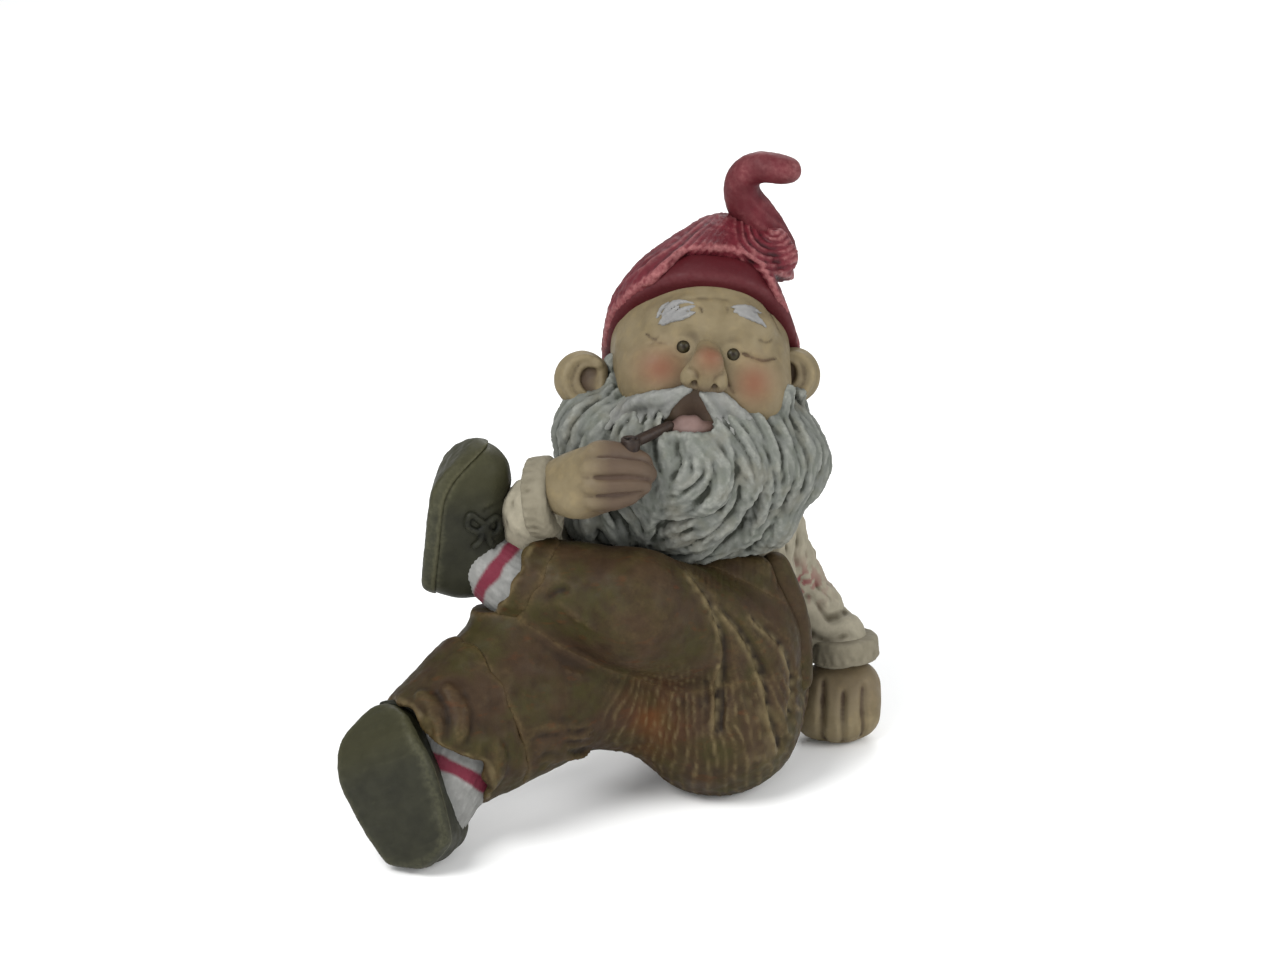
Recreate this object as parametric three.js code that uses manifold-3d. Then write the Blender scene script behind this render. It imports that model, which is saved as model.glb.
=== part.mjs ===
// A reclining tomte (gnome) figurine: cast resin, hand painted, about 130 mm tall.
// Units are millimetres. +Z is up, the figure faces -Y, and +X is the figure's own left.
// The origin is on the ground, on the flat face that the seat rests on.
//
// Every sub-part is a body of rounded lumps. A lump is the convex hull of a few balls, and a limb is a
// row of lumps joined end to end. Where two sub-parts meet, one is cut back from the other by GAP.
import * as THREE from "three";
import { ConvexGeometry } from "three/addons/geometries/ConvexGeometry.js";
import { mergeVertices } from "three/addons/utils/BufferGeometryUtils.js";
import Module from "manifold-3d";

const wasm = await Module();
wasm.setup();

// ---- Driving dimensions ----------------------------------------------------------------------
const GAP = 0.3; // clearance between neighbouring sub-parts
const FAR = 60; // farther than any sub-part reaches from its own frame
const TURN_UP_PROUD = 1.0; // how far a turn-up stands out from its trouser leg
const LEFT_TURN_UP = 5; // widths of the turn-ups
const RIGHT_TURN_UP = 9;
const SOLE_THICKNESS = 3.2;
const SHOE_LENGTH = 35;
const SHOE_WIDTH = 21;
const EYE_RADIUS = 1.7;

const HEAD_CENTRE = [-2.3, 16, 87.5];
const HEAD_LEAN = 20; // degrees that the face looks up
const HEAD_TURN = 5; // degrees that the face turns to the figure's left
const HEAD_ROLL = 8; // degrees that the crown leans to the figure's left

const PELVIS_FRONT = [1.2, 0, 16.0];
const PELVIS_BACK = [4, 16, 16.0];
const BELLY = [5, 13, 28];
const CHEST = [2.5, 22, 46];
const NECK = [-1, 23, 62];

// ---- Materials -------------------------------------------------------------------------------
const paint = (color, roughness) => new THREE.MeshStandardMaterial({ color, roughness, metalness: 0 });
const MATERIALS = {
  skin: paint(0xb89c74, 0.55),
  hair: paint(0xa9aaa4, 0.7),
  hat: paint(0x7a2630, 0.6),
  wool: paint(0xb5ab92, 0.8),
  cloth: paint(0x513a24, 0.65),
  sock: paint(0xb9b7b6, 0.7),
  leather: paint(0x3c3c2c, 0.5),
  lace: paint(0x24251d, 0.6),
  eye: paint(0x2c2012, 0.3),
  mouth: paint(0x6a443b, 0.5),
  pipe: paint(0x38281c, 0.45),
};

// ---- Frames: a place with its own sideways, forward and up directions --------------------------
// Sideways is to the figure's left for a frame that faces forward.
const vector = (p) => new THREE.Vector3(...p);

function frameAt(origin, forward, up) {
  const f = vector(forward).normalize();
  const r = new THREE.Vector3().crossVectors(vector(up), f).normalize();
  const u = new THREE.Vector3().crossVectors(f, r);
  return { origin: vector(origin), r, f, u };
}

// A ball given as [sideways, forward, up, radius] in a frame, in the figure's own axes.
function ballIn(frame, [sideways, forward, up, radius]) {
  const p = frame.origin.clone();
  p.addScaledVector(frame.r, sideways).addScaledVector(frame.f, forward).addScaledVector(frame.u, up);
  return [p.x, p.y, p.z, radius];
}

const ballsIn = (frame, balls) => balls.map((ball) => ballIn(frame, ball));

function headFrame() {
  const lean = THREE.MathUtils.degToRad(HEAD_LEAN);
  const turn = THREE.MathUtils.degToRad(HEAD_TURN);
  const forward = new THREE.Vector3(0, -Math.cos(lean), Math.sin(lean));
  forward.applyAxisAngle(new THREE.Vector3(0, 0, 1), turn);
  const up = new THREE.Vector3(0, 0, 1).applyAxisAngle(forward, -THREE.MathUtils.degToRad(HEAD_ROLL));
  return frameAt(HEAD_CENTRE, forward.toArray(), up.toArray());
}

// ---- Solids ------------------------------------------------------------------------------------
// A closed geometry as a manifold-3d solid, ready to be cut and joined.
function solidOf(geometry) {
  const bare = geometry.index ? geometry.toNonIndexed() : geometry.clone();
  bare.deleteAttribute("normal");
  bare.deleteAttribute("uv");
  const merged = mergeVertices(bare, 1e-4);
  return new wasm.Manifold(
    new wasm.Mesh({
      numProp: 3,
      vertProperties: merged.attributes.position.array,
      triVerts: new Uint32Array(merged.index.array),
    }),
  );
}

function geometryOf(solid) {
  const mesh = solid.getMesh();
  const geometry = new THREE.BufferGeometry();
  geometry.setAttribute("position", new THREE.BufferAttribute(mesh.vertProperties, 3));
  geometry.setIndex(new THREE.BufferAttribute(mesh.triVerts, 1));
  geometry.computeVertexNormals();
  return geometry;
}

const ROUND = new THREE.IcosahedronGeometry(1, 1).deleteAttribute("uv").deleteAttribute("normal");
const BALL_POINTS = mergeVertices(ROUND);

function pointsOfBall([x, y, z, radius], grow) {
  const unit = BALL_POINTS.attributes.position;
  const points = [];
  for (let i = 0; i < unit.count; i++) {
    const p = new THREE.Vector3().fromBufferAttribute(unit, i);
    points.push(p.multiplyScalar(radius + grow).add(new THREE.Vector3(x, y, z)));
  }
  return points;
}

// One lump: the convex hull of all the balls.
function lump(balls, grow = 0) {
  return solidOf(new ConvexGeometry(balls.flatMap((ball) => pointsOfBall(ball, grow))));
}

// A limb: the hulls of each ball with the next, joined.
function limb(balls, grow = 0) {
  const links = balls.slice(1).map((ball, i) => lump([balls[i], ball], grow));
  return links.reduce((whole, link) => whole.add(link));
}

// A body is a list of limbs and lumps that can be remade a little larger, to cut its neighbours back.
const body = (...makers) => (grow = 0) => makers.map((make) => make(grow)).reduce((a, b) => a.add(b));
const asLump = (balls) => (grow) => lump(balls, grow);
const asLimb = (balls) => (grow) => limb(balls, grow);

// The largest piece that a cut leaves.
function largest(solid) {
  const parts = solid.decompose();
  return parts.reduce((a, b) => (b.volume() > a.volume() ? b : a));
}

// Everything below the ground, which cuts the flat resting faces.
const GROUND = solidOf(new THREE.BoxGeometry(6 * FAR, 6 * FAR, FAR).translate(0, 0, -FAR / 2));

// A slab between two planes square to a frame's forward direction, for cutting hems, straps and the brim.
function slab(frame, from, to) {
  const box = new THREE.BoxGeometry(2 * FAR, to - from, 2 * FAR);
  box.translate(0, (from + to) / 2, 0);
  const basis = new THREE.Matrix4().makeBasis(frame.r.clone().negate(), frame.f, frame.u);
  return solidOf(box.applyMatrix4(basis.setPosition(frame.origin)));
}

// The part of a body that lies between two such planes, as a body that can be grown.
const between = (make, frame, from, to) => (grow = 0) =>
  make(grow).intersect(slab(frame, from - grow, to + grow));

// ---- The shapes, each as a body that can be grown ------------------------------------------------
const HEAD = headFrame();

const skull = body(
  asLump(
    ballsIn(HEAD, [
      [0, -1, 1, 18.5],
      [0.5, 3.5, 4, 14.5],
      [-8, 8, -5.5, 9.5],
      [9.5, 8, -6, 9.5],
      [0, 6, -12, 10.5],
    ]),
  ),
);

const nose = body(
  asLump(
    ballsIn(HEAD, [
      [-0.2, 17.6, 0.2, 1.9],
      [-0.7, 21.6, -4.0, 3.3],
      [-2.9, 18.8, -6.0, 2.5],
      [1.6, 18.8, -6.2, 2.5],
    ]),
  ),
);

// An ear is a rounded shell that stands out from the side of the head.
const ear = (side, out, up) =>
  body(
    asLump(
      ballsIn(HEAD, [
        [side * (out - 7.0), 3, up + 3, 2.6],
        [side * (out - 2.0), 2, up + 3.2, 2.3],
        [side * out, 2, up, 2.2],
        [side * (out - 2.0), 2.5, up - 4.4, 2.2],
        [side * (out - 7.0), 3.5, up - 4, 2.4],
      ]),
    ),
  );
const rightEar = ear(-1, 27.3, -7.6);
const leftEar = ear(1, 23.0, -2.1);

const eye = (sideways, up) =>
  body(asLump(ballsIn(HEAD, [[sideways, 16.2, up, EYE_RADIUS], [sideways, 17.2, up, EYE_RADIUS]])));
const rightEye = eye(-4.95, 0);
const leftEye = eye(4.95, -0.4);

const rightBrow = body(
  asLimb(
    ballsIn(HEAD, [
      [-10.4, 13.8, 4.2, 1.4],
      [-6.8, 16.4, 6.6, 1.9],
      [-3.4, 17.2, 8.2, 1.5],
    ]),
  ),
);
const leftBrow = body(
  asLimb(
    ballsIn(HEAD, [
      [3.6, 17.2, 8.8, 1.5],
      [6.9, 16.4, 8.0, 1.9],
      [10.4, 14.0, 6.2, 1.4],
    ]),
  ),
);

const lowerLip = body(
  asLimb(
    ballsIn(HEAD, [
      [-4.0, 16.6, -16.0, 1.6],
      [0.2, 18.2, -17.4, 2.2],
      [4.4, 16.6, -16.0, 1.6],
    ]),
  ),
);

const rightMoustache = body(
  asLimb(
    ballsIn(HEAD, [
      [-2.6, 19.4, -10.4, 1.7],
      [-6.8, 18.8, -13.2, 2.5],
      [-11.6, 16.8, -16.0, 2.8],
      [-16.0, 13.6, -18.6, 1.8],
    ]),
  ),
);
const leftMoustache = body(
  asLimb(
    ballsIn(HEAD, [
      [1.4, 19.4, -10.4, 1.7],
      [5.4, 18.8, -13.6, 2.5],
      [9.0, 16.8, -17.8, 2.8],
      [11.6, 14.0, -22.6, 1.8],
    ]),
  ),
);

// The hat: a band round the brow, the crown that overhangs it, and the curled tail.
// The brim is a plane through the head that rises from the nape to the forehead.
const BRIM_RISE = 38; // degrees from level, in the head's own frame
const BRIM_HEIGHT = 1.2; // where the plane passes over the middle of the head
const BAND_HEIGHT = 7;

function brimFrame() {
  const rise = THREE.MathUtils.degToRad(BRIM_RISE);
  const origin = ballIn(HEAD, [0, 0, BRIM_HEIGHT, 0]).slice(0, 3);
  const normal = HEAD.u.clone().multiplyScalar(Math.cos(rise)).addScaledVector(HEAD.f, -Math.sin(rise));
  return frameAt(origin, normal.toArray(), HEAD.f.toArray());
}

const BRIM = brimFrame();
const hatBand = between(
  body(
    asLump(
      ballsIn(HEAD, [
        [0.3, 0.8, 3.0, 20.0],
        [0.3, -7, 0, 19.5],
      ]),
    ),
  ),
  BRIM, 0, BAND_HEIGHT,
);
const hatCrown = between(
  body(
    asLump([
      [-1.2, 14, 93.5, 18.6],
      [-0.8, 23, 91.5, 18.8],
      [2.4, 22.5, 105.0, 9.6],
      [9.5, 26, 104.5, 6.5],
      [12.5, 25, 103.5, 4.2],
    ]),
  ),
  BRIM, BAND_HEIGHT + GAP, FAR,
);
const hatTail = body(
  asLimb([
    [12.8, 25.5, 106.0, 4.8],
    [9.2, 24.5, 113.2, 4.3],
    [6.2, 23, 118.4, 3.6],
    [6.4, 21.5, 122.8, 3.2],
    [9.4, 20, 125.4, 3.0],
    [15.2, 18.5, 125.0, 2.7],
  ]),
);

const backHair = body(
  asLump([
    [-12, 30, 76, 6.5],
    [8, 30, 76, 6.5],
    [-2, 34, 70, 5.5],
  ]),
);

const beardLump = body(
  asLump([
    [-19.5, 11, 80.0, 5.4],
    [10.5, 12, 77, 7.4],
    [-24.0, 6, 73, 6.5],
    [15.5, 8, 67.5, 8.0],
    [-3, 1, 70, 13.0],
    [-4, 3, 60, 10.5],
    [-19, 4, 60.0, 7.0],
    [11.0, 8, 60, 8],
  ]),
  asLump([
    [-24.5, 1, 56, 3.2],
    [-17, 2, 60, 6.5],
    [-6, 1, 56.5, 5.0],
    [11.5, 5, 56, 5.0],
  ]),
);

const jumper = body(
  asLimb([
    [...BELLY, 14.5],
    [...CHEST, 14.5],
    [...NECK, 10],
  ]),
  asLump([
    [-13, 23, 52, 7.5],
    [12.5, 25, 49, 6.5],
    [-8, 12, 43, 10],
  ]),
);

const seat = body(
  asLump([
    [...PELVIS_FRONT, 18.2],
    [...PELVIS_BACK, 17.4],
    [...BELLY, 15.5],
  ]),
);

const LEFT_LEG = [
  [5, 1, 30, 13.5],
  [-16, -15, 44.5, 12.0],
  [-40.5, -10, 48.6, 9.6],
];
const RIGHT_LEG = [
  [-6, 5, 18.5, 14.8],
  [-28, -8, 26.2, 14.0],
  [-51.5, -26, 20.0, 13.2],
];
const RIGHT_KNEE = [-38, -12, 36, 11]; // the rise that carries the left foot
const leftLeg = body(asLimb(LEFT_LEG));
const rightLeg = body(asLimb(RIGHT_LEG), asLump([RIGHT_LEG[1], RIGHT_LEG[2], RIGHT_KNEE]));

// A hem is where a leg is cut off, square to the ankle, with its turn-up just inside the cut.
const leftHem = frameAt(LEFT_LEG[2].slice(0, 3), [-0.87, 0.05, 0.47], [0, 0, 1]);
const rightHem = frameAt(RIGHT_LEG[2].slice(0, 3), [-0.78, -0.6, -0.2], [0, 0, 1]);

// A shoe's frame: forward points out through the sole, up points to the toe.
const leftShoeFrame = frameAt([-56.3, -6, 61.2], [-0.985, 0.05, 0.12], [0.12, 0.0, 1]);
const rightShoeFrame = frameAt([-63.2, -41.5, 16.6], [-0.42, -0.89, 0.12], [-0.46, 0.12, 0.88]);

// A shoe is one rounded last with a flat tread. The sole is the layer of it next to the tread.
const shoeLast = (frame, toe, heel) =>
  body(
    asLump(
      ballsIn(frame, [
        ...[-1, 1].flatMap((side) => [
          [side * (SHOE_WIDTH / 2 - 2.8), -1.5, -SHOE_LENGTH / 2 + 6, 1.5],
          [side * (SHOE_WIDTH / 2 - 1.5), -1.5, 3.5, 1.5],
          [side * (SHOE_WIDTH / 2 - 3.6), -1.8, SHOE_LENGTH / 2 - 5.6, 1.5],
        ]),
        [0, -1.5, -SHOE_LENGTH / 2 + 2.6, 1.5],
        [0, -2.6, SHOE_LENGTH / 2 - 2.4, 1.5],
        [0, -8.2, SHOE_LENGTH / 2 - 8.6, toe],
        [0, -7.6, -SHOE_LENGTH / 2 + 7.4, heel],
      ]),
    ),
    asLump(
      ballsIn(frame, [
        [0, -9.0, 0, 7.4],
        [0, -12.6, -10.4, 6.4],
      ]),
    ),
  );
const leftLast = shoeLast(leftShoeFrame, 8.0, 7.4);
const rightLast = shoeLast(rightShoeFrame, 7.4, 7.4);
const leftSole = between(leftLast, leftShoeFrame, -SOLE_THICKNESS, 1);
const rightSole = between(rightLast, rightShoeFrame, -SOLE_THICKNESS, 1);
const leftUpper = between(leftLast, leftShoeFrame, -FAR, -SOLE_THICKNESS - GAP);
const rightUpper = between(rightLast, rightShoeFrame, -FAR, -SOLE_THICKNESS - GAP);

const sockOf = (shoe, hem, ankle, calf) =>
  body(asLimb([ballIn(shoe, [0, -11, -7.5, ankle]), ballIn(hem, [0, -3, 0, calf])]));
const leftSock = sockOf(leftShoeFrame, leftHem, 6.8, 8.2);
const rightSock = sockOf(rightShoeFrame, rightHem, 7.6, 10.4);

const laceOf = (shoe) =>
  body(asLump(ballsIn(shoe, [[-4, -16.2, 1, 1.4], [4, -16.2, 1, 1.4], [0, -15.4, 6, 1.4]])));
const leftLaces = laceOf(leftShoeFrame);
const rightLaces = laceOf(rightShoeFrame);

const LEFT_ARM = [
  [12.0, 25, 50, 6.8],
  [16.0, 28, 36, 6.8],
  [21.0, 28, 26, 7.0],
  [27.0, 26, 20.5, 7.2],
];
const RIGHT_ARM = [
  [-15, 22, 53, 7.2],
  [-33, 8, 50, 6.6],
  [-37.5, -2, 53.5, 6.6],
  [-35.5, -8, 62.5, 6.4],
];
const leftSleeve = body(asLimb(LEFT_ARM));
const rightSleeve = body(asLimb(RIGHT_ARM));

// A cuff is a band round the wrist. Its frame's forward points to the hand.
const leftWrist = frameAt([28.6, 24.5, 17.2], [0.06, -0.12, -1], [0, 1, 0]);
const rightWrist = frameAt([-31.4, -10, 66.2], [0.97, -0.2, 0.14], [0, 0, 1]);
const cuffAt = (wrist, radius) =>
  between(body(asLump(ballsIn(wrist, [[0, -4, 0, radius], [0, 0.5, 0, radius]]))), wrist, -4.8, 0.4);
const leftCuff = cuffAt(leftWrist, 7.8);
const rightCuff = cuffAt(rightWrist, 8.4);

const leftHand = body(
  asLump([
    [25.4, 24, 10.6, 5.8],
    [31.0, 24, 11.0, 5.8],
    [23.4, 21, 5.4, 5.4],
    [31.4, 21.5, 5.6, 5.4],
    [28.0, 19.5, 5.0, 5.3],
    [28.0, 27, 6.0, 5.6],
  ]),
);
const rightHand = body(
  asLump([
    [-28.5, -11.5, 69.0, 6.6],
    [-22.5, -15.5, 73.0, 6.6],
    [-26.0, -15.0, 69.2, 6.2],
    [-17.0, -14.8, 72.0, 5.8],
    [-20.0, -15.0, 70.5, 5.6],
  ]),
);

const pipeStem = body(asLimb([[-15.6, -12.8, 80.0, 1.6], ballIn(HEAD, [-4.6, 16.6, -13.6, 1.4])]));
const pipeBowl = body(asLump([[-16.2, -13.5, 81.0, 2.3], [-16.8, -13.5, 76.0, 2.3]]));

// The bib hangs down the front from under the beard, and a placket with buttons runs down its left side.
const bib = body(
  asLump([
    [-7, 1.5, 46, 4],
    [9, 3, 45, 4],
    [-4, 1, 34, 4],
    [12, 1, 33, 4],
  ]),
);
const placket = body(
  asLimb([
    [13.0, 7, 45, 3.0],
    [17.0, 4, 34, 3.0],
    [18.0, 1, 22, 2.8],
  ]),
);
const brace = (side) =>
  body(
    asLimb([
      [2 + side * 9, 8, 56, 2.6],
      [1 + side * 10, 20, 62, 2.4],
      [1.5 + side * 9, 34.5, 55, 2.6],
      [3 + side * 8, 36.5, 42, 2.6],
      [4 + side * 7, 31, 27, 2.6],
    ]),
  );
const rightBrace = brace(-1);
const leftBrace = brace(1);

// ---- Cutting the bodies to fit each other ------------------------------------------------------------
const turnUp = (leg, hem, width) => between((grow) => leg(TURN_UP_PROUD + grow), hem, -width, 0);
const leftTurnUp = turnUp(leftLeg, leftHem, LEFT_TURN_UP);
const rightTurnUp = turnUp(rightLeg, rightHem, RIGHT_TURN_UP);
const trouserLeg = (leg, hem, width) => between(leg, hem, -2 * FAR, -width - GAP);

// Name, finish and shape. Each sub-part is cut back from every one above it in this list.
const pieces = [
  ["left_eye", "eye", leftEye],
  ["right_eye", "eye", rightEye],
  ["head", "skin", skull],
  ["nose", "skin", nose],
  ["lower_lip", "mouth", lowerLip],
  ["left_ear", "skin", leftEar],
  ["right_ear", "skin", rightEar],
  ["hat_band", "hat", hatBand],
  ["hat_crown", "hat", hatCrown],
  ["hat_tail", "hat", hatTail],
  ["left_eyebrow", "hair", leftBrow],
  ["right_eyebrow", "hair", rightBrow],
  ["right_hand", "skin", rightHand],
  ["left_hand", "skin", leftHand],
  ["pipe_bowl", "pipe", pipeBowl],
  ["pipe_stem", "pipe", pipeStem],
  ["left_moustache", "hair", leftMoustache],
  ["right_moustache", "hair", rightMoustache],
  ["right_cuff", "wool", rightCuff],
  ["left_cuff", "wool", leftCuff],
  ["left_shoe_sole", "leather", leftSole],
  ["right_shoe_sole", "leather", rightSole],
  ["left_turn_up", "cloth", leftTurnUp],
  ["right_turn_up", "cloth", rightTurnUp],
  ["left_shoe_upper", "leather", leftUpper],
  ["right_shoe_upper", "leather", rightUpper],
  ["left_laces", "lace", leftLaces],
  ["right_laces", "lace", rightLaces],
  ["left_sock", "sock", between(leftSock, leftHem, -LEFT_TURN_UP, FAR)],
  ["right_sock", "sock", between(rightSock, rightHem, -RIGHT_TURN_UP, FAR)],
  ["dungaree_seat", "cloth", seat],
  ["left_trouser_leg", "cloth", trouserLeg(leftLeg, leftHem, LEFT_TURN_UP)],
  ["right_trouser_leg", "cloth", trouserLeg(rightLeg, rightHem, RIGHT_TURN_UP)],
  ["right_sleeve", "wool", rightSleeve],
  ["left_sleeve", "wool", leftSleeve],
  ["jumper", "wool", jumper],
  ["beard", "hair", beardLump],
  ["back_hair", "hair", backHair],
  ["bib", "cloth", bib],
  ["placket", "cloth", placket],
  ["left_brace", "cloth", leftBrace],
  ["right_brace", "cloth", rightBrace],
];

// A solid with the room of everything in the list taken out of it.
const cutBack = (solid, others) => others.reduce((left, other) => left.subtract(other(GAP)), solid);

const group = new THREE.Group();
pieces.forEach(([name, finish, make], place) => {
  const above = pieces.slice(0, place).map((piece) => piece[2]);
  const solid = largest(cutBack(make().subtract(GROUND), above));
  const mesh = new THREE.Mesh(geometryOf(solid), MATERIALS[finish].clone());
  mesh.name = name;
  group.add(mesh);
});
export default group;
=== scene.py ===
"""The looks of the tomte figurine: each CAD sub-part is replaced by a sculpted, painted piece.

Each piece is sculpted like clay. A Clay is a grid of distances to a surface, in millimetres. Balls, lumps,
limbs and hulls are added to it or cut from it, lines are raised on it or pressed into it, and strands of hair
or wool are laid along it. Its surface is then made into a mesh in metres, in the frame of the CAD model.

A ball is (x, y, z, radius). A sketch is a list of (right, up) places in the camera's view, which are laid on
the clay that is seen there. The paint is nodes only: it reads each mesh's relief, which darkens its grooves
with a wash that is also painted shade and lightens its ridges with paint that is also a painted highlight,
and up to two masks called tint and second, which in some pieces hold painted shade and in others painted
highlights.
"""

import math

import bpy
import numpy as np
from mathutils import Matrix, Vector


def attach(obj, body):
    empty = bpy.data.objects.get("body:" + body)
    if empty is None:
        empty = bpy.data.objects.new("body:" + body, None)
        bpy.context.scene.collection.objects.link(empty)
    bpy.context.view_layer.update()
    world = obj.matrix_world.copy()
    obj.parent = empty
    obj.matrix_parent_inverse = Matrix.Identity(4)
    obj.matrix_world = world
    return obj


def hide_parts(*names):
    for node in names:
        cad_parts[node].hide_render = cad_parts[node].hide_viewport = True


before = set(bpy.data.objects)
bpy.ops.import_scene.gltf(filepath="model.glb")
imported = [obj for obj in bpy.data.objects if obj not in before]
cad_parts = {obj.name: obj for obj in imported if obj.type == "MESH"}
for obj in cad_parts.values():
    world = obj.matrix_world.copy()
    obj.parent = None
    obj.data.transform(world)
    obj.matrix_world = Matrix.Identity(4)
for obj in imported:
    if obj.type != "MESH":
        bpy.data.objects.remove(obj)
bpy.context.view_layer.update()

MM = 0.001
FINE, MEDIUM, COARSE = 0.45, 0.6, 0.6  # sizes of a clay's grid cells, mm
COARSENESS = 1.0
FAR = 50.0  # the distance that stands for empty space, mm


# ---- Frames of reference ---------------------------------------------------------------------------------
def unit(v):
    v = np.asarray(v, float)
    return v / np.linalg.norm(v, axis=-1, keepdims=True)


class Place:
    """A place with its own sideways, forward and up directions, as in the CAD model."""

    def __init__(self, origin, forward, up):
        self.origin = np.array(origin, float)
        self.f = unit(forward)
        self.r = unit(np.cross(up, self.f))
        self.u = np.cross(self.f, self.r)

    def at(self, sideways, forward, up):
        return self.origin + sideways * self.r + forward * self.f + up * self.u

    def balls(self, rows):
        """Balls given as (sideways, forward, up, radius), as (x, y, z, radius)."""
        return [(*self.at(*row[:3]), row[3]) for row in rows]

    def path(self, rows):
        return [self.at(*row) for row in rows]

    def local(self, points):
        """Each point's own sideways, forward and up."""
        away = points - self.origin
        return away @ self.r, away @ self.f, away @ self.u


def turned(v, axis, degrees):
    """The vector v turned about an axis."""
    a = math.radians(degrees)
    v, axis = np.array(v, float), unit(axis)
    return v * math.cos(a) + np.cross(axis, v) * math.sin(a) + axis * (axis @ v) * (1 - math.cos(a))


# ---- Clay ------------------------------------------------------------------------------------------------
def smooth_min(a, b, blend):
    """The nearer of two distances, rounded where they meet."""
    if blend <= 0:
        return np.minimum(a, b)
    h = np.clip(0.5 + 0.5 * (b - a) / blend, 0, 1)
    return b + h * (a - b) - blend * h * (1 - h)


def lattice_noise(points, size, seed=0):
    """Smooth noise from -1 to 1 with features about as wide as size, in mm."""
    table = np.random.RandomState(seed).uniform(-1, 1, (32, 32, 32))
    g = points / size
    whole = np.floor(g).astype(int)
    part = g - whole
    part = part * part * (3 - 2 * part)
    total = 0.0
    for corner in np.ndindex(2, 2, 2):
        i, j, k = ((whole + corner) % 32).T
        weight = np.prod(np.where(corner, part, 1 - part), axis=1)
        total = total + table[i, j, k] * weight
    return total


def streaks(points, way, width, length, seed=0):
    """Noise drawn out along a direction at each point, as fine strands, from about -1 to 1."""
    way = unit(way + 1e-9)
    total = 0.0
    steps = np.arange(-length / 2, length / 2, width * 0.9)
    for step in steps:
        total = total + lattice_noise(points + way * step, width, seed)
    return total / math.sqrt(len(steps)) * 0.75


def dense(path, step=0.8):
    """A smooth curve through the points of a path, with a point about every step mm."""
    p = np.array(path, float)
    if len(p) < 2:
        return p
    p = np.vstack([2 * p[0] - p[1], p, 2 * p[-1] - p[-2]])
    out = []
    for a, b, c, d in zip(p, p[1:], p[2:], p[3:]):
        n = max(1, math.ceil(np.linalg.norm(c - b) / step))
        for t in np.arange(n) / n:
            out.append(
                0.5
                * (2 * b + (c - a) * t + (2 * a - 5 * b + 4 * c - d) * t**2 + (3 * b - a - 3 * c + d) * t**3)
            )
    out.append(p[-2])
    return np.array(out)


def tapered(points, radii):
    """Points and their radii as balls."""
    return np.hstack([points, radii[:, None]])


def directions(count):
    """Directions spread evenly over a sphere."""
    n = np.arange(count)
    up = 1 - 2 * (n + 0.5) / count
    turn = n * math.pi * (3 - math.sqrt(5))
    level = np.sqrt(1 - up * up)
    return np.stack([np.cos(turn) * level, np.sin(turn) * level, up], 1)


DIRECTIONS = directions(700)


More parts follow.
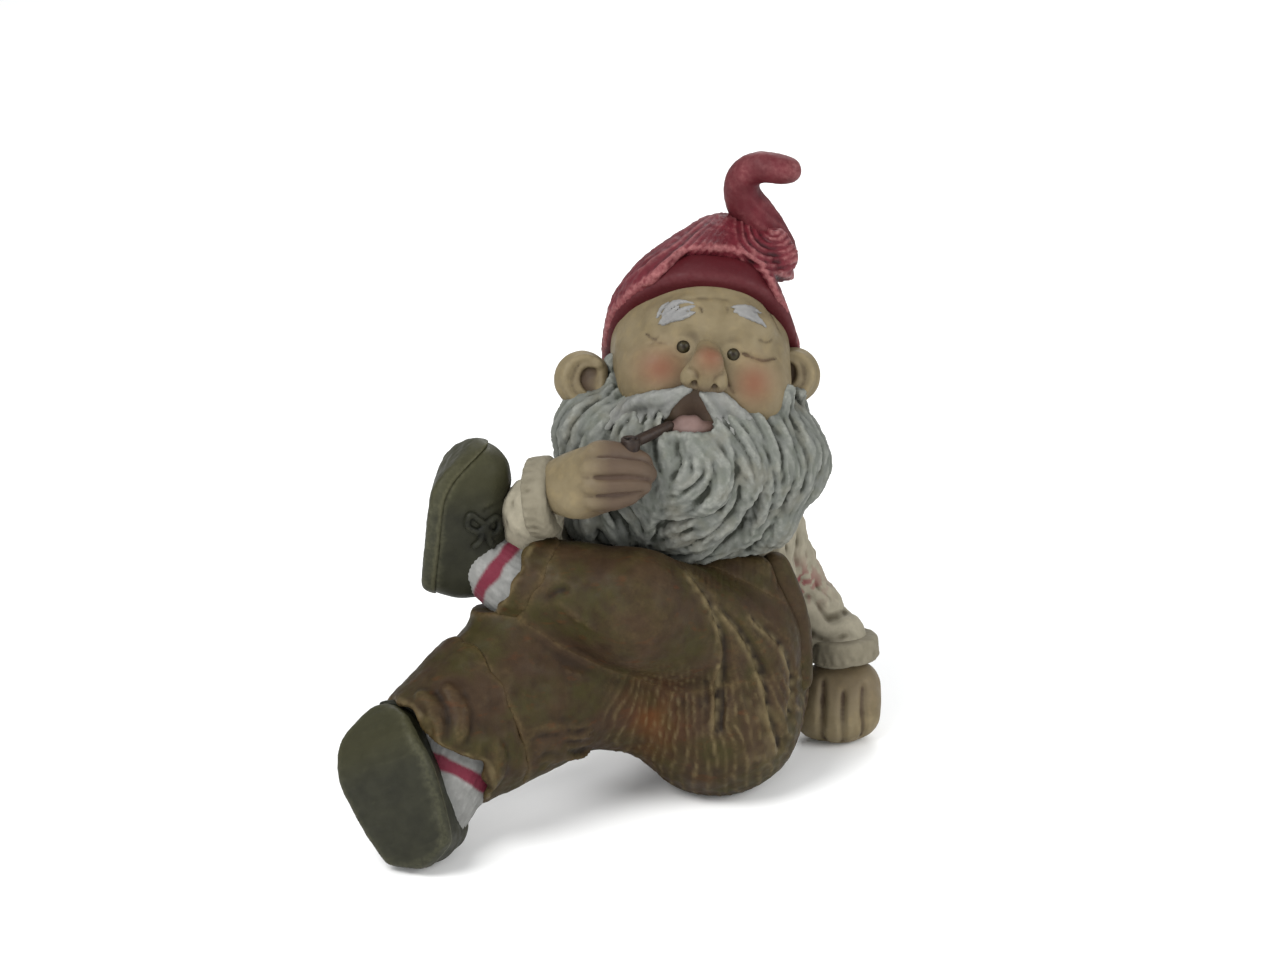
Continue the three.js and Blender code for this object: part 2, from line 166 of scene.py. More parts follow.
class Clay:
    """A grid of distances to a surface, which are below 0 inside it."""

    def __init__(self, low, high, cell=MEDIUM, margin=0.0):
        self.margin = margin  # how much farther than usual a new lump's distances are worked out, mm
        self.cell = cell * COARSENESS
        border = 4 * self.cell
        self.low = np.array(low, float) - border
        self.size = np.ceil((np.array(high, float) + border - self.low) / self.cell).astype(int) + 1
        self.d = np.full(self.size, FAR, np.float32)
        self.axes = [
            (start + self.cell * np.arange(count)).astype(np.float32)
            for start, count in zip(self.low, self.size)
        ]

    @classmethod
    def around(cls, balls, cell=MEDIUM, margin=2.0):
        """An empty grid with room for the balls, and margin mm more."""
        b = np.array(balls, float)
        reach = b[:, 3:] + margin
        return cls((b[:, :3] - reach).min(0), (b[:, :3] + reach).max(0), cell)

    # -- adding and cutting --
    def window(self, low, high):
        """The part of the grid inside a box, and the coordinates of its points."""
        first = np.clip(np.floor((low - self.low) / self.cell).astype(int), 0, self.size)
        last = np.clip(np.ceil((high - self.low) / self.cell).astype(int) + 1, 0, self.size)
        part = tuple(slice(a, b) for a, b in zip(first, last))
        x = self.axes[0][part[0]][:, None, None]
        y = self.axes[1][part[1]][None, :, None]
        z = self.axes[2][part[2]][None, None, :]
        return part, x, y, z

    def rod(self, a, b, blend, cut=False):
        """Adds or cuts the tapered rod between two balls."""
        a, b = np.asarray(a, float), np.asarray(b, float)
        reach = max(a[3], b[3]) + blend + 3 * self.cell + self.margin
        low = np.minimum(a[:3], b[:3]) - reach
        high = np.maximum(a[:3], b[:3]) + reach
        part, x, y, z = self.window(low, high)
        old = self.d[part]
        if old.size == 0:
            return
        axis = (b - a)[:3].astype(np.float32)
        x, y, z = x - np.float32(a[0]), y - np.float32(a[1]), z - np.float32(a[2])
        t = np.clip((x * axis[0] + y * axis[1] + z * axis[2]) / max(float(axis @ axis), 1e-6), 0, 1)
        new = np.sqrt((x - t * axis[0]) ** 2 + (y - t * axis[1]) ** 2 + (z - t * axis[2]) ** 2)
        new -= np.float32(a[3]) + t * np.float32(b[3] - a[3])
        self.d[part] = -smooth_min(-old, new, blend) if cut else smooth_min(old, new, blend)

    def lump(self, balls, blend=1.5, cut=False):
        """One rounded lump: a rod from each ball to every other."""
        if len(balls) == 1:
            self.rod(balls[0], balls[0], blend, cut)
        for i, a in enumerate(balls):
            for b in balls[i + 1 :]:
                self.rod(a, b, blend, cut)

    def limb(self, balls, blend=1.5, cut=False):
        """A row of rods end to end."""
        for a, b in zip(balls, balls[1:]):
            self.rod(a, b, blend, cut)

    def hull(self, balls, blend=0.0, cut=False):
        """Adds or cuts the convex hull of some balls, from the planes that touch it all round."""
        b = np.array(balls, float)
        reach = b[:, 3:] + blend + 3 * self.cell + self.margin
        part, *axes = self.window((b[:, :3] - reach).min(0), (b[:, :3] + reach).max(0))
        axes = [axis.reshape(-1) for axis in axes]
        step = 3 * self.cell
        knots = [np.arange(axis[0] - step, axis[-1] + 2 * step, step) for axis in axes]
        x, y, z = np.meshgrid(*knots, indexing="ij", sparse=True)
        new = np.full([len(k) for k in knots], -FAR)
        for way in DIRECTIONS:
            farthest = (b[:, :3] @ way + b[:, 3]).max()
            np.maximum(new, (x * way[0] + y * way[1] - farthest) + z * way[2], out=new)
        # A smooth spline through the coarse knots gives the distance at every grid point.
        for axis, knot in zip(axes, knots):
            t = np.abs(axis[:, None] - knot) / step
            weights = np.where(t < 0.5, 0.75 - t**2, np.clip(1.5 - t, 0, 1.5) ** 2 / 2)
            new = np.tensordot(new, weights, (0, 1))
        new = new.astype(np.float32)
        old = self.d[part]
        self.d[part] = -smooth_min(-old, new, blend) if cut else smooth_min(old, new, blend)

    def local(self, place):
        """Each grid point's sideways, forward and up in a place."""
        x, y, z = self.axes[0][:, None, None], self.axes[1][None, :, None], self.axes[2][None, None, :]
        o = place.origin
        ways = place.r, place.f, place.u
        return [(x - o[0]) * way[0] + (y - o[1]) * way[1] + (z - o[2]) * way[2] for way in ways]

    def trim(self, outside, blend=0.3):
        """Cuts away where a grid of distances is above 0."""
        self.d = -smooth_min(-self.d, -outside.astype(np.float32), blend)

    def copy(self):
        other = object.__new__(Clay)
        other.__dict__ = dict(self.__dict__, d=self.d.copy())
        return other

    def stroke(self, balls, blend, step=0.8):
        """Adds a limb along a smooth curve through the balls."""
        self.limb(dense(balls, step), blend)

    def plane(self, origin, normal, blend=0.3):
        """Cuts away everything on the side that the normal points to."""
        other = (0, 1, 0) if abs(unit(normal)[2]) > 0.9 else (0, 0, 1)
        self.trim(self.local(Place(origin, normal, other))[1], blend)

    def ground(self):
        """Cuts away everything below the ground."""
        self.plane((0, 0, 0), (0, 0, -1), 0.4)

    # -- reading the surface --
    def value(self, points):
        """The distance at each point, between those of the grid."""
        g = np.clip((points - self.low) / self.cell, 0, self.size - 1.001)
        whole = g.astype(int)
        part = g - whole
        total = 0.0
        for corner in np.ndindex(2, 2, 2):
            i, j, k = (whole + corner).T
            total = total + self.d[i, j, k] * np.prod(np.where(corner, part, 1 - part), axis=1)
        return total

    def slope(self, points):
        """The direction straight out of the surface at each point."""
        steps = np.eye(3) * self.cell
        rise = [self.value(points + step) - self.value(points - step) for step in steps]
        return unit(np.stack(rise, 1) + 1e-9)

    def snap(self, points, rise=0.0):
        """The points moved to rise mm above the surface."""
        points = np.array(points, float)
        for _ in range(4):
            off = np.clip(self.value(points) - rise, -3, 3)
            points = points - off[:, None] * self.slope(points)
        return points

    # -- lines and strands --
    def line(self, path, width, height, blend=0.3, taper=0.35):
        """Raises a rounded line along a path by height mm, or presses it in where height is negative."""
        points = self.snap(dense(path, 0.8))
        t = np.linspace(0, 1, len(points))
        radii = width / 2 * (taper + (1 - taper) * np.sqrt(np.sin(np.pi * np.clip(t, 0.02, 0.98))))
        rise = height - radii if height > 0 else radii + height
        points = points + self.slope(points) * rise[:, None]
        self.limb(tapered(points, radii), blend, cut=height < 0)

    def draw(self, paths, width, height, blend=0.3, taper=0.35):
        """Draws a line on the surface along each path, which is a sketch."""
        for path in paths:
            self.line(sketch(self, path), width, height, blend, taper)

    def strands(self, starts, flow, steps, step, radius, lift, blend, seed):
        """Lays tapered strands along the surface from the starts, in the direction that flow gives."""
        random = np.random.RandomState(seed)
        points = self.snap(starts)
        way = [points]
        for _ in range(steps):
            normal = self.slope(points)
            go = flow(points, normal)
            go = go - normal * (go * normal).sum(1, keepdims=True)
            points = self.snap(points + unit(go + 1e-9) * step)
            way.append(points)
        way = np.array(way)
        t = np.linspace(0, 1, steps + 1)
        thick = np.sin(np.pi * (0.16 + 0.80 * t)) ** 0.8
        size = radius * random.uniform(0.75, 1.2, len(starts))
        rise = lift * random.uniform(0.5, 1.2, len(starts))
        normals = np.array([self.slope(p) for p in way])
        centres = way + normals * (rise * np.sin(np.pi * t[:, None]) - 0.35 * size)[:, :, None]
        for n in range(len(starts)):
            self.limb(tapered(centres[:, n], thick * size[n]), blend)

    def scatter(self, spacing, seed, where=None):
        """Points spread over the surface about spacing mm apart."""
        points, _ = self.surface()
        if where is not None:
            points = points[where(points)]
        random = np.random.RandomState(seed)
        points = points[random.permutation(len(points))]
        cells = np.floor(points / spacing).astype(int)
        _, first = np.unique(cells, axis=0, return_index=True)
        return points[np.sort(first)]

    # -- the mesh --
    def surface(self):
        """Vertices and quads of the surface, with one vertex in each grid cell that it crosses."""
        corners, crossings = [], []
        inside = self.d < 0
        for axis in range(3):
            near = [slice(1, -1)] * 3
            far = list(near)
            near[axis], far[axis] = slice(1, -2), slice(2, -1)
            at = np.argwhere(inside[tuple(near)] != inside[tuple(far)]) + 1
            step, u, v = np.roll(np.eye(3, dtype=int), -axis, axis=0)
            d0 = self.d[tuple(at.T)]
            d1 = self.d[tuple((at + step).T)]
            crossing = at + step * (d0 / (d0 - d1))[:, None]
            loop = np.stack([at, at - u, at - u - v, at - v], 1)
            loop[d0 > 0] = loop[d0 > 0][:, ::-1]
            corners.append(loop)
            crossings.append(crossing)
        corners = np.concatenate(corners)
        crossings = np.concatenate(crossings)
        flat = np.ravel_multi_index(corners.reshape(-1, 3).T, self.size)
        _, vertex = np.unique(flat, return_inverse=True)
        vertex = vertex.reshape(-1)
        count = np.bincount(vertex)
        each = np.repeat(crossings, 4, axis=0)
        points = np.stack([np.bincount(vertex, each[:, i]) / count for i in range(3)], 1)
        return self.low + points * self.cell, vertex.reshape(-1, 4)


# ---- Meshes ----------------------------------------------------------------------------------------------
class Skin:
    """A clay's surface as a mesh that can still be pushed in and out."""

    def __init__(self, clay):
        self.points, self.quads = clay.surface()
        a = self.quads.reshape(-1)
        b = np.roll(self.quads, -1, axis=1).reshape(-1)
        self.ends = np.concatenate([a, b]), np.concatenate([b, a])
        self.count = np.bincount(self.ends[0], minlength=len(self.points))[:, None]
        self.points = 0.5 * self.points + 0.5 * self.average(self.points)

    def average(self, values):
        """Each vertex's mean over its neighbours."""
        a, b = self.ends
        columns = range(values.shape[1])
        total = np.stack([np.bincount(a, values[b, i], len(values)) for i in columns], 1)
        return total / self.count

    def normals(self):
        p = self.points[self.quads]
        across = np.cross(p[:, 2] - p[:, 0], p[:, 3] - p[:, 1])
        flat = self.quads.reshape(-1)
        each = np.repeat(across, 4, axis=0)
        total = np.stack([np.bincount(flat, each[:, i], len(self.points)) for i in range(3)], 1)
        return unit(total + 1e-12)

    def push(self, amount):
        """Moves each vertex out along its normal by amount(points, normals) mm."""
        normals = self.normals()
        self.points = self.points + normals * amount(self.points, normals)[:, None]

    def relief(self, rounds=8):
        """How far each vertex stands above or below its smoothed surroundings, in mm."""
        calm = self.points
        for _ in range(rounds):
            calm = self.average(calm)
        high = ((self.points - calm) * self.normals()).sum(1, keepdims=True)
        return self.average(high)[:, 0]


def skin_mesh(name, skin):
    mesh = bpy.data.meshes.new(name)
    mesh.vertices.add(len(skin.points))
    mesh.vertices.foreach_set("co", (skin.points * MM).reshape(-1).astype(np.float32))
    mesh.loops.add(skin.quads.size)
    mesh.loops.foreach_set("vertex_index", skin.quads.reshape(-1).astype(np.int32))
    mesh.polygons.add(len(skin.quads))
    mesh.polygons.foreach_set("loop_start", np.arange(0, skin.quads.size, 4, dtype=np.int32))
    mesh.polygons.foreach_set("use_smooth", np.ones(len(skin.quads), bool))
    mesh.update(calc_edges=True)
    return mesh


def show(name, clay, material, push=None, tint=None, second=None):
    """Makes the clay into the piece that stands for the CAD node of the same name.

    push(points, normals) is how far its surface is pushed out in mm. tint(points) and second(points) say
    where the paint's two masks are, from 0 to 1.
    """
    skin = Skin(clay)
    if push is not None:
        skin.push(push)
    mesh = skin_mesh(name, skin)
    masks = {"relief": skin.relief()}
    for mask, amount in (("tint", tint), ("second", second)):
        masks[mask] = amount(skin.points) if amount else np.zeros(len(skin.points))
    for mask, values in masks.items():
        layer = mesh.attributes.new(mask, "FLOAT", "POINT")
        layer.data.foreach_set("value", np.asarray(values, np.float32))
    piece = bpy.data.objects.new(name + "_sculpt", mesh)
    bpy.context.scene.collection.objects.link(piece)
    mesh.materials.append(material)
    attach(piece, "root")
    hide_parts(name)


# ---- Masks for paint -------------------------------------------------------------------------------------
def spot(points, centre, radius):
    """1 at a centre, falling softly to 0."""
    away = ((points - np.asarray(centre)) ** 2).sum(1)
    return np.exp(-away / radius**2)


def band(values, middle, half, soft=0.4):
    """1 inside a band of values, 0 outside."""
    return np.clip((half + soft / 2 - np.abs(values - middle)) / soft, 0, 1)


def everywhere(amount):
    """A mask that is the same all over."""
    return lambda points: np.full(len(points), float(amount))


def uneven(height, size, seed):
    """Pushes the surface in and out by up to height mm, in bumps of about size mm."""
    return lambda points, normals: height * lattice_noise(points, size, seed)


# ---- The view that lines are sketched in -----------------------------------------------------------------
TILT = 20.0  # degrees that the camera looks down
TARGET = np.array([-14.4, 0.0, 66.0])  # the middle of the view, mm
DISTANCE = 700.0  # from the camera to the middle of the view, mm
LENS = 98.44  # focal length, mm
SIGHT = 90.0  # how far before and behind the middle of the view a sketch looks for clay, mm
LOOK = np.array([0, math.cos(math.radians(TILT)), -math.sin(math.radians(TILT))])
ACROSS = np.array([1.0, 0, 0])
UPRIGHT = np.cross(ACROSS, LOOK)
EYE_POINT = TARGET - LOOK * DISTANCE


def sketch(clay, rows):
    """Points of the clay that are seen at (right, up) mm from the middle of the view."""
    found = []
    for right, up in rows:
        ray = unit(TARGET + right * ACROSS + up * UPRIGHT - EYE_POINT)
        along = EYE_POINT + ray * np.arange(DISTANCE - SIGHT, DISTANCE + SIGHT, 0.25)[:, None]
        inside = (along > clay.low).all(1) & (along < clay.low + clay.size * clay.cell).all(1)
        along = along[inside]
        if len(along) == 0:
            continue
        distance = clay.value(along)
        hit = np.argmax(distance < 0) if (distance < 0).any() else np.argmin(distance)
        found.append(along[hit])
    return found


def seen(points):
    """Where points are seen, as (right, up) mm from the middle of the view."""
    away = points - EYE_POINT
    depth = away @ LOOK
    return away @ ACROSS * DISTANCE / depth, away @ UPRIGHT * DISTANCE / depth


def near(points, paths, width):
    """1 on lines sketched in the view, falling softly to 0 beside them."""
    a, b = seen(points)
    on = np.vstack([dense([(*row, 0) for row in path], 0.5) for path in paths])
    away = np.full(len(points), 1e6)
    for right, up, _ in on:
        away = np.minimum(away, (a - right) ** 2 + (b - up) ** 2)
    return np.exp(-away / width**2)


def combed(guides, spread=4.0):
    """A flow that follows the nearest of the guide lines, each a list of (right, up) in the view."""
    middles, ways = [], []
    for guide in guides:
        p = dense([(a, b, 0) for a, b in guide], 2.0)[:, :2]
        middles.append((p[1:] + p[:-1]) / 2)
        ways.append(unit(p[1:] - p[:-1]))
    middles, ways = np.vstack(middles), np.vstack(ways)

    def flow(points, normals):
        a, b = seen(points)
        away = (a[:, None] - middles[:, 0]) ** 2 + (b[:, None] - middles[:, 1]) ** 2
        weight = 1 / (away + spread) ** 2
        weight /= weight.sum(1, keepdims=True)
        way = weight @ ways
        return way[:, :1] * ACROSS + way[:, 1:] * UPRIGHT

    return flow


# ---- Materials -------------------------------------------------------------------------------------------
def rgb(hexadecimal):
    """A linear colour from an sRGB one."""
    values = [int(hexadecimal[i : i + 2], 16) / 255 for i in (0, 2, 4)]
    return [v / 12.92 if v < 0.04045 else ((v + 0.055) / 1.055) ** 2.4 for v in values] + [1.0]


class Paint:
    """Builds one material's nodes: layers of colour over each other, then the shader."""

    def __init__(self, name):
        self.material = bpy.data.materials.new(name)
        self.material.use_nodes = True
        self.nodes = self.material.node_tree.nodes
        self.links = self.material.node_tree.links
        self.shader = self.nodes["Principled BSDF"]
        self.place = self.nodes.new("ShaderNodeTexCoord").outputs["Object"]
        self.colour = None

    def link(self, a, b):
        self.links.new(a, b)

    def noise(self, size, detail=4, stretch=(1, 1, 1)):
        """Noise with features of about size mm, which is about 0.5 on average."""
        scaled = self.nodes.new("ShaderNodeMapping")
        scaled.inputs["Scale"].default_value = stretch
        self.link(self.place, scaled.inputs["Vector"])
        noise = self.nodes.new("ShaderNodeTexNoise")
        noise.inputs["Scale"].default_value = 1 / (size * MM)
        noise.inputs["Detail"].default_value = detail
        self.link(scaled.outputs["Vector"], noise.inputs["Vector"])
        return noise.outputs["Fac"]

    def attribute(self, name):
        node = self.nodes.new("ShaderNodeAttribute")
        node.attribute_name = name
        return node.outputs["Fac"]

    def ramp(self, value, low, high, to_low=0.0, to_high=1.0):
        node = self.nodes.new("ShaderNodeMapRange")
        node.inputs["From Min"].default_value = low
        node.inputs["From Max"].default_value = high
        node.inputs["To Min"].default_value = to_low
        node.inputs["To Max"].default_value = to_high
        self.link(value, node.inputs["Value"])
        return node.outputs["Result"]

    def times(self, a, b):
        node = self.nodes.new("ShaderNodeMath")
        node.operation = "MULTIPLY"
        self.link(a, node.inputs[0])
        self.link(b, node.inputs[1])
        return node.outputs["Value"]

    def mix(self, colour, amount):
        """Lays a colour over those so far, where amount says."""
        node = self.nodes.new("ShaderNodeMix")
        node.data_type = "RGBA"
        factor = next(s for s in node.inputs if s.name == "Factor" and s.type == "VALUE")
        under, over = [s for s in node.inputs if s.type == "RGBA"]
        result = next(s for s in node.outputs if s.type == "RGBA")
        if isinstance(self.colour, list):
            under.default_value = self.colour
        else:
            self.link(self.colour, under)
        over.default_value = rgb(colour)
        self.link(amount, factor)
        self.colour = result
        return self

    def base(self, colour):
        self.colour = rgb(colour)
        return self

    def mottle(self, colour, size, low=0.45, high=0.65, strength=1.0, stretch=(1, 1, 1)):
        """Patches of another colour."""
        return self.mix(colour, self.ramp(self.noise(size, 5, stretch), low, high, 0, strength))

    def wash_and_shade(self, colour, depth=0.22, strength=0.9):
        """Thin dark paint in the grooves, that is also painted shade."""
        return self.mix(colour, self.ramp(self.attribute("relief"), -0.02, -depth, 0, strength))

    def drybrush_and_highlight(self, colour, height=0.25, strength=0.6):
        """Light paint on the ridges, with a broken edge, that is also a painted highlight."""
        caught = self.ramp(self.attribute("relief"), 0.03, height, 0, strength)
        return self.mix(colour, self.times(caught, self.ramp(self.noise(0.8), 0.2, 0.7)))

    def over(self, colour, attribute="tint", strength=1.0):
        return self.mix(colour, self.ramp(self.attribute(attribute), 0, 1, 0, strength))

    def finish(self, rough=(0.5, 0.7), bump=0.06, grain=0.5, specular=0.35):
        """Sets the colour, and roughness and bump from noise. Bump is in mm."""
        self.link(self.colour, self.shader.inputs["Base Color"])
        rough_value = self.ramp(self.noise(2.4, 3), 0.35, 0.65, *rough)
        self.link(rough_value, self.shader.inputs["Roughness"])
        self.shader.inputs["Specular IOR Level"].default_value = specular
        bumps = self.nodes.new("ShaderNodeBump")
        bumps.inputs["Strength"].default_value = 1.0
        bumps.inputs["Distance"].default_value = bump * MM
        self.link(self.noise(grain, 3), bumps.inputs["Height"])
        self.link(bumps.outputs["Normal"], self.shader.inputs["Normal"])
        return self.material


# In every paint below, the dark paint in the grooves is also painted shade, and the light paint on the ridges
# is also a painted highlight.
def skin_paint():
    paint = Paint("painted_skin").base("6c614a").mottle("5c513a", 5.0, 0.4, 0.7, 0.7)
    paint.mottle("77694c", 2.2, 0.5, 0.7, 0.5).wash_and_shade("33271a", 0.16, 0.85).drybrush_and_highlight("877b60", 0.3, 0.4)
    # second is painted shade: in the mouth's hollow, under the nose, in the ears' hollows and on the shaded
    # sides of the hands.
    paint.over("643a2a", "tint", 0.78).over("43342b", "second", 0.9)
    return paint.finish((0.5, 0.68), 0.03, 0.6, 0.2)


def hair_paint():
    paint = Paint("painted_hair").base("5f615c").mottle("52564c", 3.0, 0.4, 0.65, 0.6)
    paint.mottle("6b675c", 6.0, 0.5, 0.7, 0.6).wash_and_shade("24261f", 0.2, 0.9).drybrush_and_highlight("85867f", 0.22, 0.7)
    paint.over("7b797a", "tint", 0.6)
    return paint.finish((0.55, 0.75), 0.04, 0.4, 0.15)


def hat_paint():
    paint = Paint("painted_hat").base("571821").mottle("460f17", 3.5, 0.4, 0.65, 0.8)
    # tint is painted shade on the band, which lies under the crown's overhang; on the tail it is a darker
    # red.
    paint.wash_and_shade("20070a", 0.2, 0.85).drybrush_and_highlight("8e5b5a", 0.2, 0.8).over("3f0c12", "tint", 0.92)
    return paint.finish((0.5, 0.7), 0.04, 0.5, 0.2)


def wool_paint():
    paint = Paint("painted_wool").base("868070").mottle("746f60", 2.6, 0.4, 0.65, 0.7)
    paint.wash_and_shade("3a3325", 0.2, 0.85).drybrush_and_highlight("989280", 0.25, 0.5)
    paint.over("6a2430", "tint", 0.8).over("453e2e", "second", 0.7)
    return paint.finish((0.65, 0.85), 0.06, 0.5, 0.1)


def cloth_paint():
    paint = Paint("painted_cloth").base("322518").mottle("2e2a12", 9.0, 0.4, 0.62, 0.85)
    paint.mottle("271b10", 3.0, 0.45, 0.7, 0.7).mottle("45260f", 2.4, 0.6, 0.75, 0.5, (0.5, 1, 1.4))
    paint.wash_and_shade("150e08", 0.2, 0.8).drybrush_and_highlight("57482f", 0.28, 0.55)
    # second is painted highlights along the folds, cords and wrinkles of the dungarees; on the turn-ups it
    # lightens their frayed edges.
    paint.over("502c12", "tint", 0.7).over("675b40", "second", 0.75)
    return paint.finish((0.5, 0.7), 0.04, 0.45, 0.12)


def sock_paint():
    paint = Paint("painted_sock").base("757572").mottle("636360", 2.5, 0.4, 0.7, 0.8)
    paint.wash_and_shade("35342f", 0.16, 0.8).drybrush_and_highlight("a5a3a0", 0.16, 0.6).over("5c1427", "tint", 0.95)
    return paint.finish((0.6, 0.8), 0.05, 0.45, 0.15)


def leather_paint():
    paint = Paint("painted_leather").base("26261c").mottle("1c1c14", 3.5, 0.4, 0.7, 0.8)
    paint.wash_and_shade("0b0b07", 0.16, 0.85).drybrush_and_highlight("4c4b39", 0.2, 0.6)
    # second is a painted highlight along the welt, where the sole meets the upper.
    paint.over("34321b", "tint", 0.55).over("4d4b38", "second", 0.7)
    return paint.finish((0.48, 0.65), 0.03, 0.5, 0.15)


def lace_paint():
    paint = Paint("painted_lace").base("0f100b").mottle("18180f", 1.5)
    paint.drybrush_and_highlight("2d2d22", 0.15, 0.6)
    return paint.finish((0.5, 0.7), 0.03, 0.4, 0.15)


def eye_paint():
    paint = Paint("painted_eye").base("120c06").mottle("22180c", 1.2).over("3d3820", "tint", 0.8)
    return paint.finish((0.4, 0.55), 0.01, 0.4, 0.2)


def mouth_paint():
    paint = Paint("painted_mouth").base("4c3a33").mottle("3f2d28", 1.5).over("6e5a55", "tint", 0.9)
    paint.wash_and_shade("241512", 0.12, 0.8)
    return paint.finish((0.5, 0.65), 0.03, 0.4, 0.2)


def pipe_paint():
    paint = Paint("painted_pipe").base("1a1210").mottle("110b08", 1.6).drybrush_and_highlight("382a20", 0.15, 0.6)
    return paint.finish((0.4, 0.6), 0.03, 0.4, 0.25)


SKIN = skin_paint()
HAIR = hair_paint()
HAT = hat_paint()
WOOL = wool_paint()
CLOTH = cloth_paint()
SOCK = sock_paint()
LEATHER = leather_paint()
LACE = lace_paint()
EYE = eye_paint()
MOUTH = mouth_paint()
PIPE = pipe_paint()


# ---- The head --------------------------------------------------------------------------------------------
HEAD_RAISED, HEAD_TURNED, HEAD_TILTED = 20, 5, -8  # degrees

def head_place():
    rise = math.radians(HEAD_RAISED)
    forward = turned((0, -math.cos(rise), math.sin(rise)), (0, 0, 1), HEAD_TURNED)
    return Place((-2.3, 16, 87.5), forward, turned((0, 0, 1), forward, HEAD_TILTED))


HEAD = head_place()


SKULL = HEAD.balls(
    [(0, -1, 1, 18.2), (0.5, 3.5, 4, 14.3), (-8, 8, -5.5, 9.0), (9.2, 8, -6, 9.0), (0, 6, -12, 10.2)]
)


EYES = {"right_eye": (-4.95, 0), "left_eye": (4.95, -0.4)}  # sideways and up in the head's place
EARS = {"right_ear": (-1, 27.3, -7.6), "left_ear": (1, 23.0, -2.1)}  # side, how far out, and up

def sculpt_head():
    clay = Clay.around(SKULL, FINE)
    clay.hull(SKULL)
    # Cheeks, the ridge of the brow, and the folds that run down from the nose.
    for cheek in HEAD.balls([(-8.6, 11.6, -5.0, 5.8), (9.6, 11.2, -5.8, 5.8)]):
        clay.lump([cheek], 2.5)
    clay.limb(HEAD.balls([(-9.5, 13.0, 5.0, 2.6), (-5, 14.8, 6.4, 2.8), (-1, 15.4, 4.6, 2.2)]), 2.5)
    clay.limb(HEAD.balls([(10.2, 12.8, 5.4, 2.6), (5, 14.8, 6.8, 2.8), (0.4, 15.4, 4.6, 2.2)]), 2.5)
    # Shallow eye sockets, with a soft rim round each eye.
    around = np.linspace(0, 2 * math.pi, 9)
    for sideways, up in EYES.values():
        clay.lump(HEAD.balls([(sideways, 21.0, up + 0.2, 4.0)]), 2.0, cut=True)
        ring = [(sideways + 1.9 * math.cos(a), 17, up + 1.7 * math.sin(a)) for a in around]
        clay.line(HEAD.path(ring), 0.7, 0.14, 0.3, 0.8)
    # A deep sagging crow's foot on one side, small ones elsewhere, and furrows across the forehead.
    for path, width, depth in (
        ([(20.7, 25.2), (24.6, 24.0), (27.4, 24.4)], 1.0, -0.55),
        ([(23.6, 28.1), (25.6, 27.5), (26.6, 28.4)], 0.7, -0.3),
        ([(1.2, 29.3), (2.6, 28.2), (3.6, 28.4)], 0.7, -0.35),
        ([(1.8, 27.2), (3.6, 27.4), (5.4, 27.4)], 0.7, -0.3),
        ([(8.2, 36.0), (14.0, 36.4), (18.0, 36.0)], 0.8, -0.25),
        ([(11.2, 35.2), (12.4, 34.2), (12.4, 33.4)], 0.7, -0.4),
        ([(17.2, 35.0), (17.6, 34.2), (17.4, 33.4)], 0.7, -0.3),
        ([(24.0, 36.0), (26.4, 33.0), (28.0, 29.6)], 0.8, -0.3),
        ([(15.9, 24.4), (16.4, 21.6), (18.6, 17.4)], 0.9, -0.4),
    ):
        clay.draw([path], width, depth)
    # The open mouth is a shallow hollow.
    clay.lump(HEAD.balls([(-0.9, 20.6, -11.0, 4.4), (-0.9, 19.8, -13.6, 5.0)]), 1.2, cut=True)

    def blush(points):
        a, b = seen(points)
        right = np.exp(-(((a - 4.0) / 4.4) ** 2) - ((b - 22.4) / 3.6) ** 2)
        left = np.exp(-(((a - 22.8) / 3.6) ** 2) - ((b - 19.4) / 3.9) ** 2)
        return np.clip(np.maximum(left, right), 0, 1) * (points[:, 1] < 12)

    # Painted shade in the shallow hollow of the open mouth.
    def mouth_shade(points):
        a, b = seen(points)
        return np.clip(1.7 - np.hypot((a - 10.4) / 4.6, (b - 13.4) / 5.0), 0, 1) * (points[:, 1] < 8)

    show("head", clay, SKIN, uneven(0.12, 3.0, 5), blush, mouth_shade)
    return clay


def sculpt_nose():
    tip = HEAD.balls([(-0.9, 21.4, -2.3, 2.2), (0.5, 21.3, -2.5, 2.2)])
    wings = HEAD.balls([(-3.2, 18.8, -6.0, 2.1), (2.4, 18.8, -6.4, 2.1)])
    clay = Clay.around(tip + wings + HEAD.balls([(-0.3, 16.6, 0.6, 2.2)]), 0.3)
    clay.hull(HEAD.balls([(-1.0, 16.8, 0.6, 1.5), (0.6, 16.8, 0.4, 1.5)]) + tip)
    clay.hull(tip + wings, 0.8)
    clay.limb(HEAD.balls([(-0.3, 21.6, -4.4, 1.4), (-0.4, 20.0, -7.2, 1.2)]), 0.8)
    for nostril in HEAD.balls([(-2.4, 20.2, -8.5, 1.0), (1.7, 20.2, -8.8, 1.0)]):
        clay.limb([nostril, (*(np.array(nostril[:3]) + 1.5 * HEAD.u), 0.7)], 0.4, cut=True)
    clay.line(HEAD.path([(-4.2, 20.4, -3.8), (-2.4, 21.4, -4.8), (-2.1, 21.0, -6.4)]), 1.0, -0.3, 0.5)
    clay.line(HEAD.path([(3.2, 20.4, -4.2), (1.7, 21.4, -5.2), (1.5, 21.0, -6.8)]), 1.0, -0.3, 0.5)

    def redness(points):
        return spot(points, HEAD.at(0.0, 23.2, -1.4), 3.2)

    # Painted shade on the underside of the nose.
    def below(points):
        s, f, u = HEAD.local(points)
        return 0.6 * np.clip((-6.8 - u) / 1.2, 0, 1)

    show("nose", clay, SKIN, uneven(0.07, 2.0, 6), redness, below)


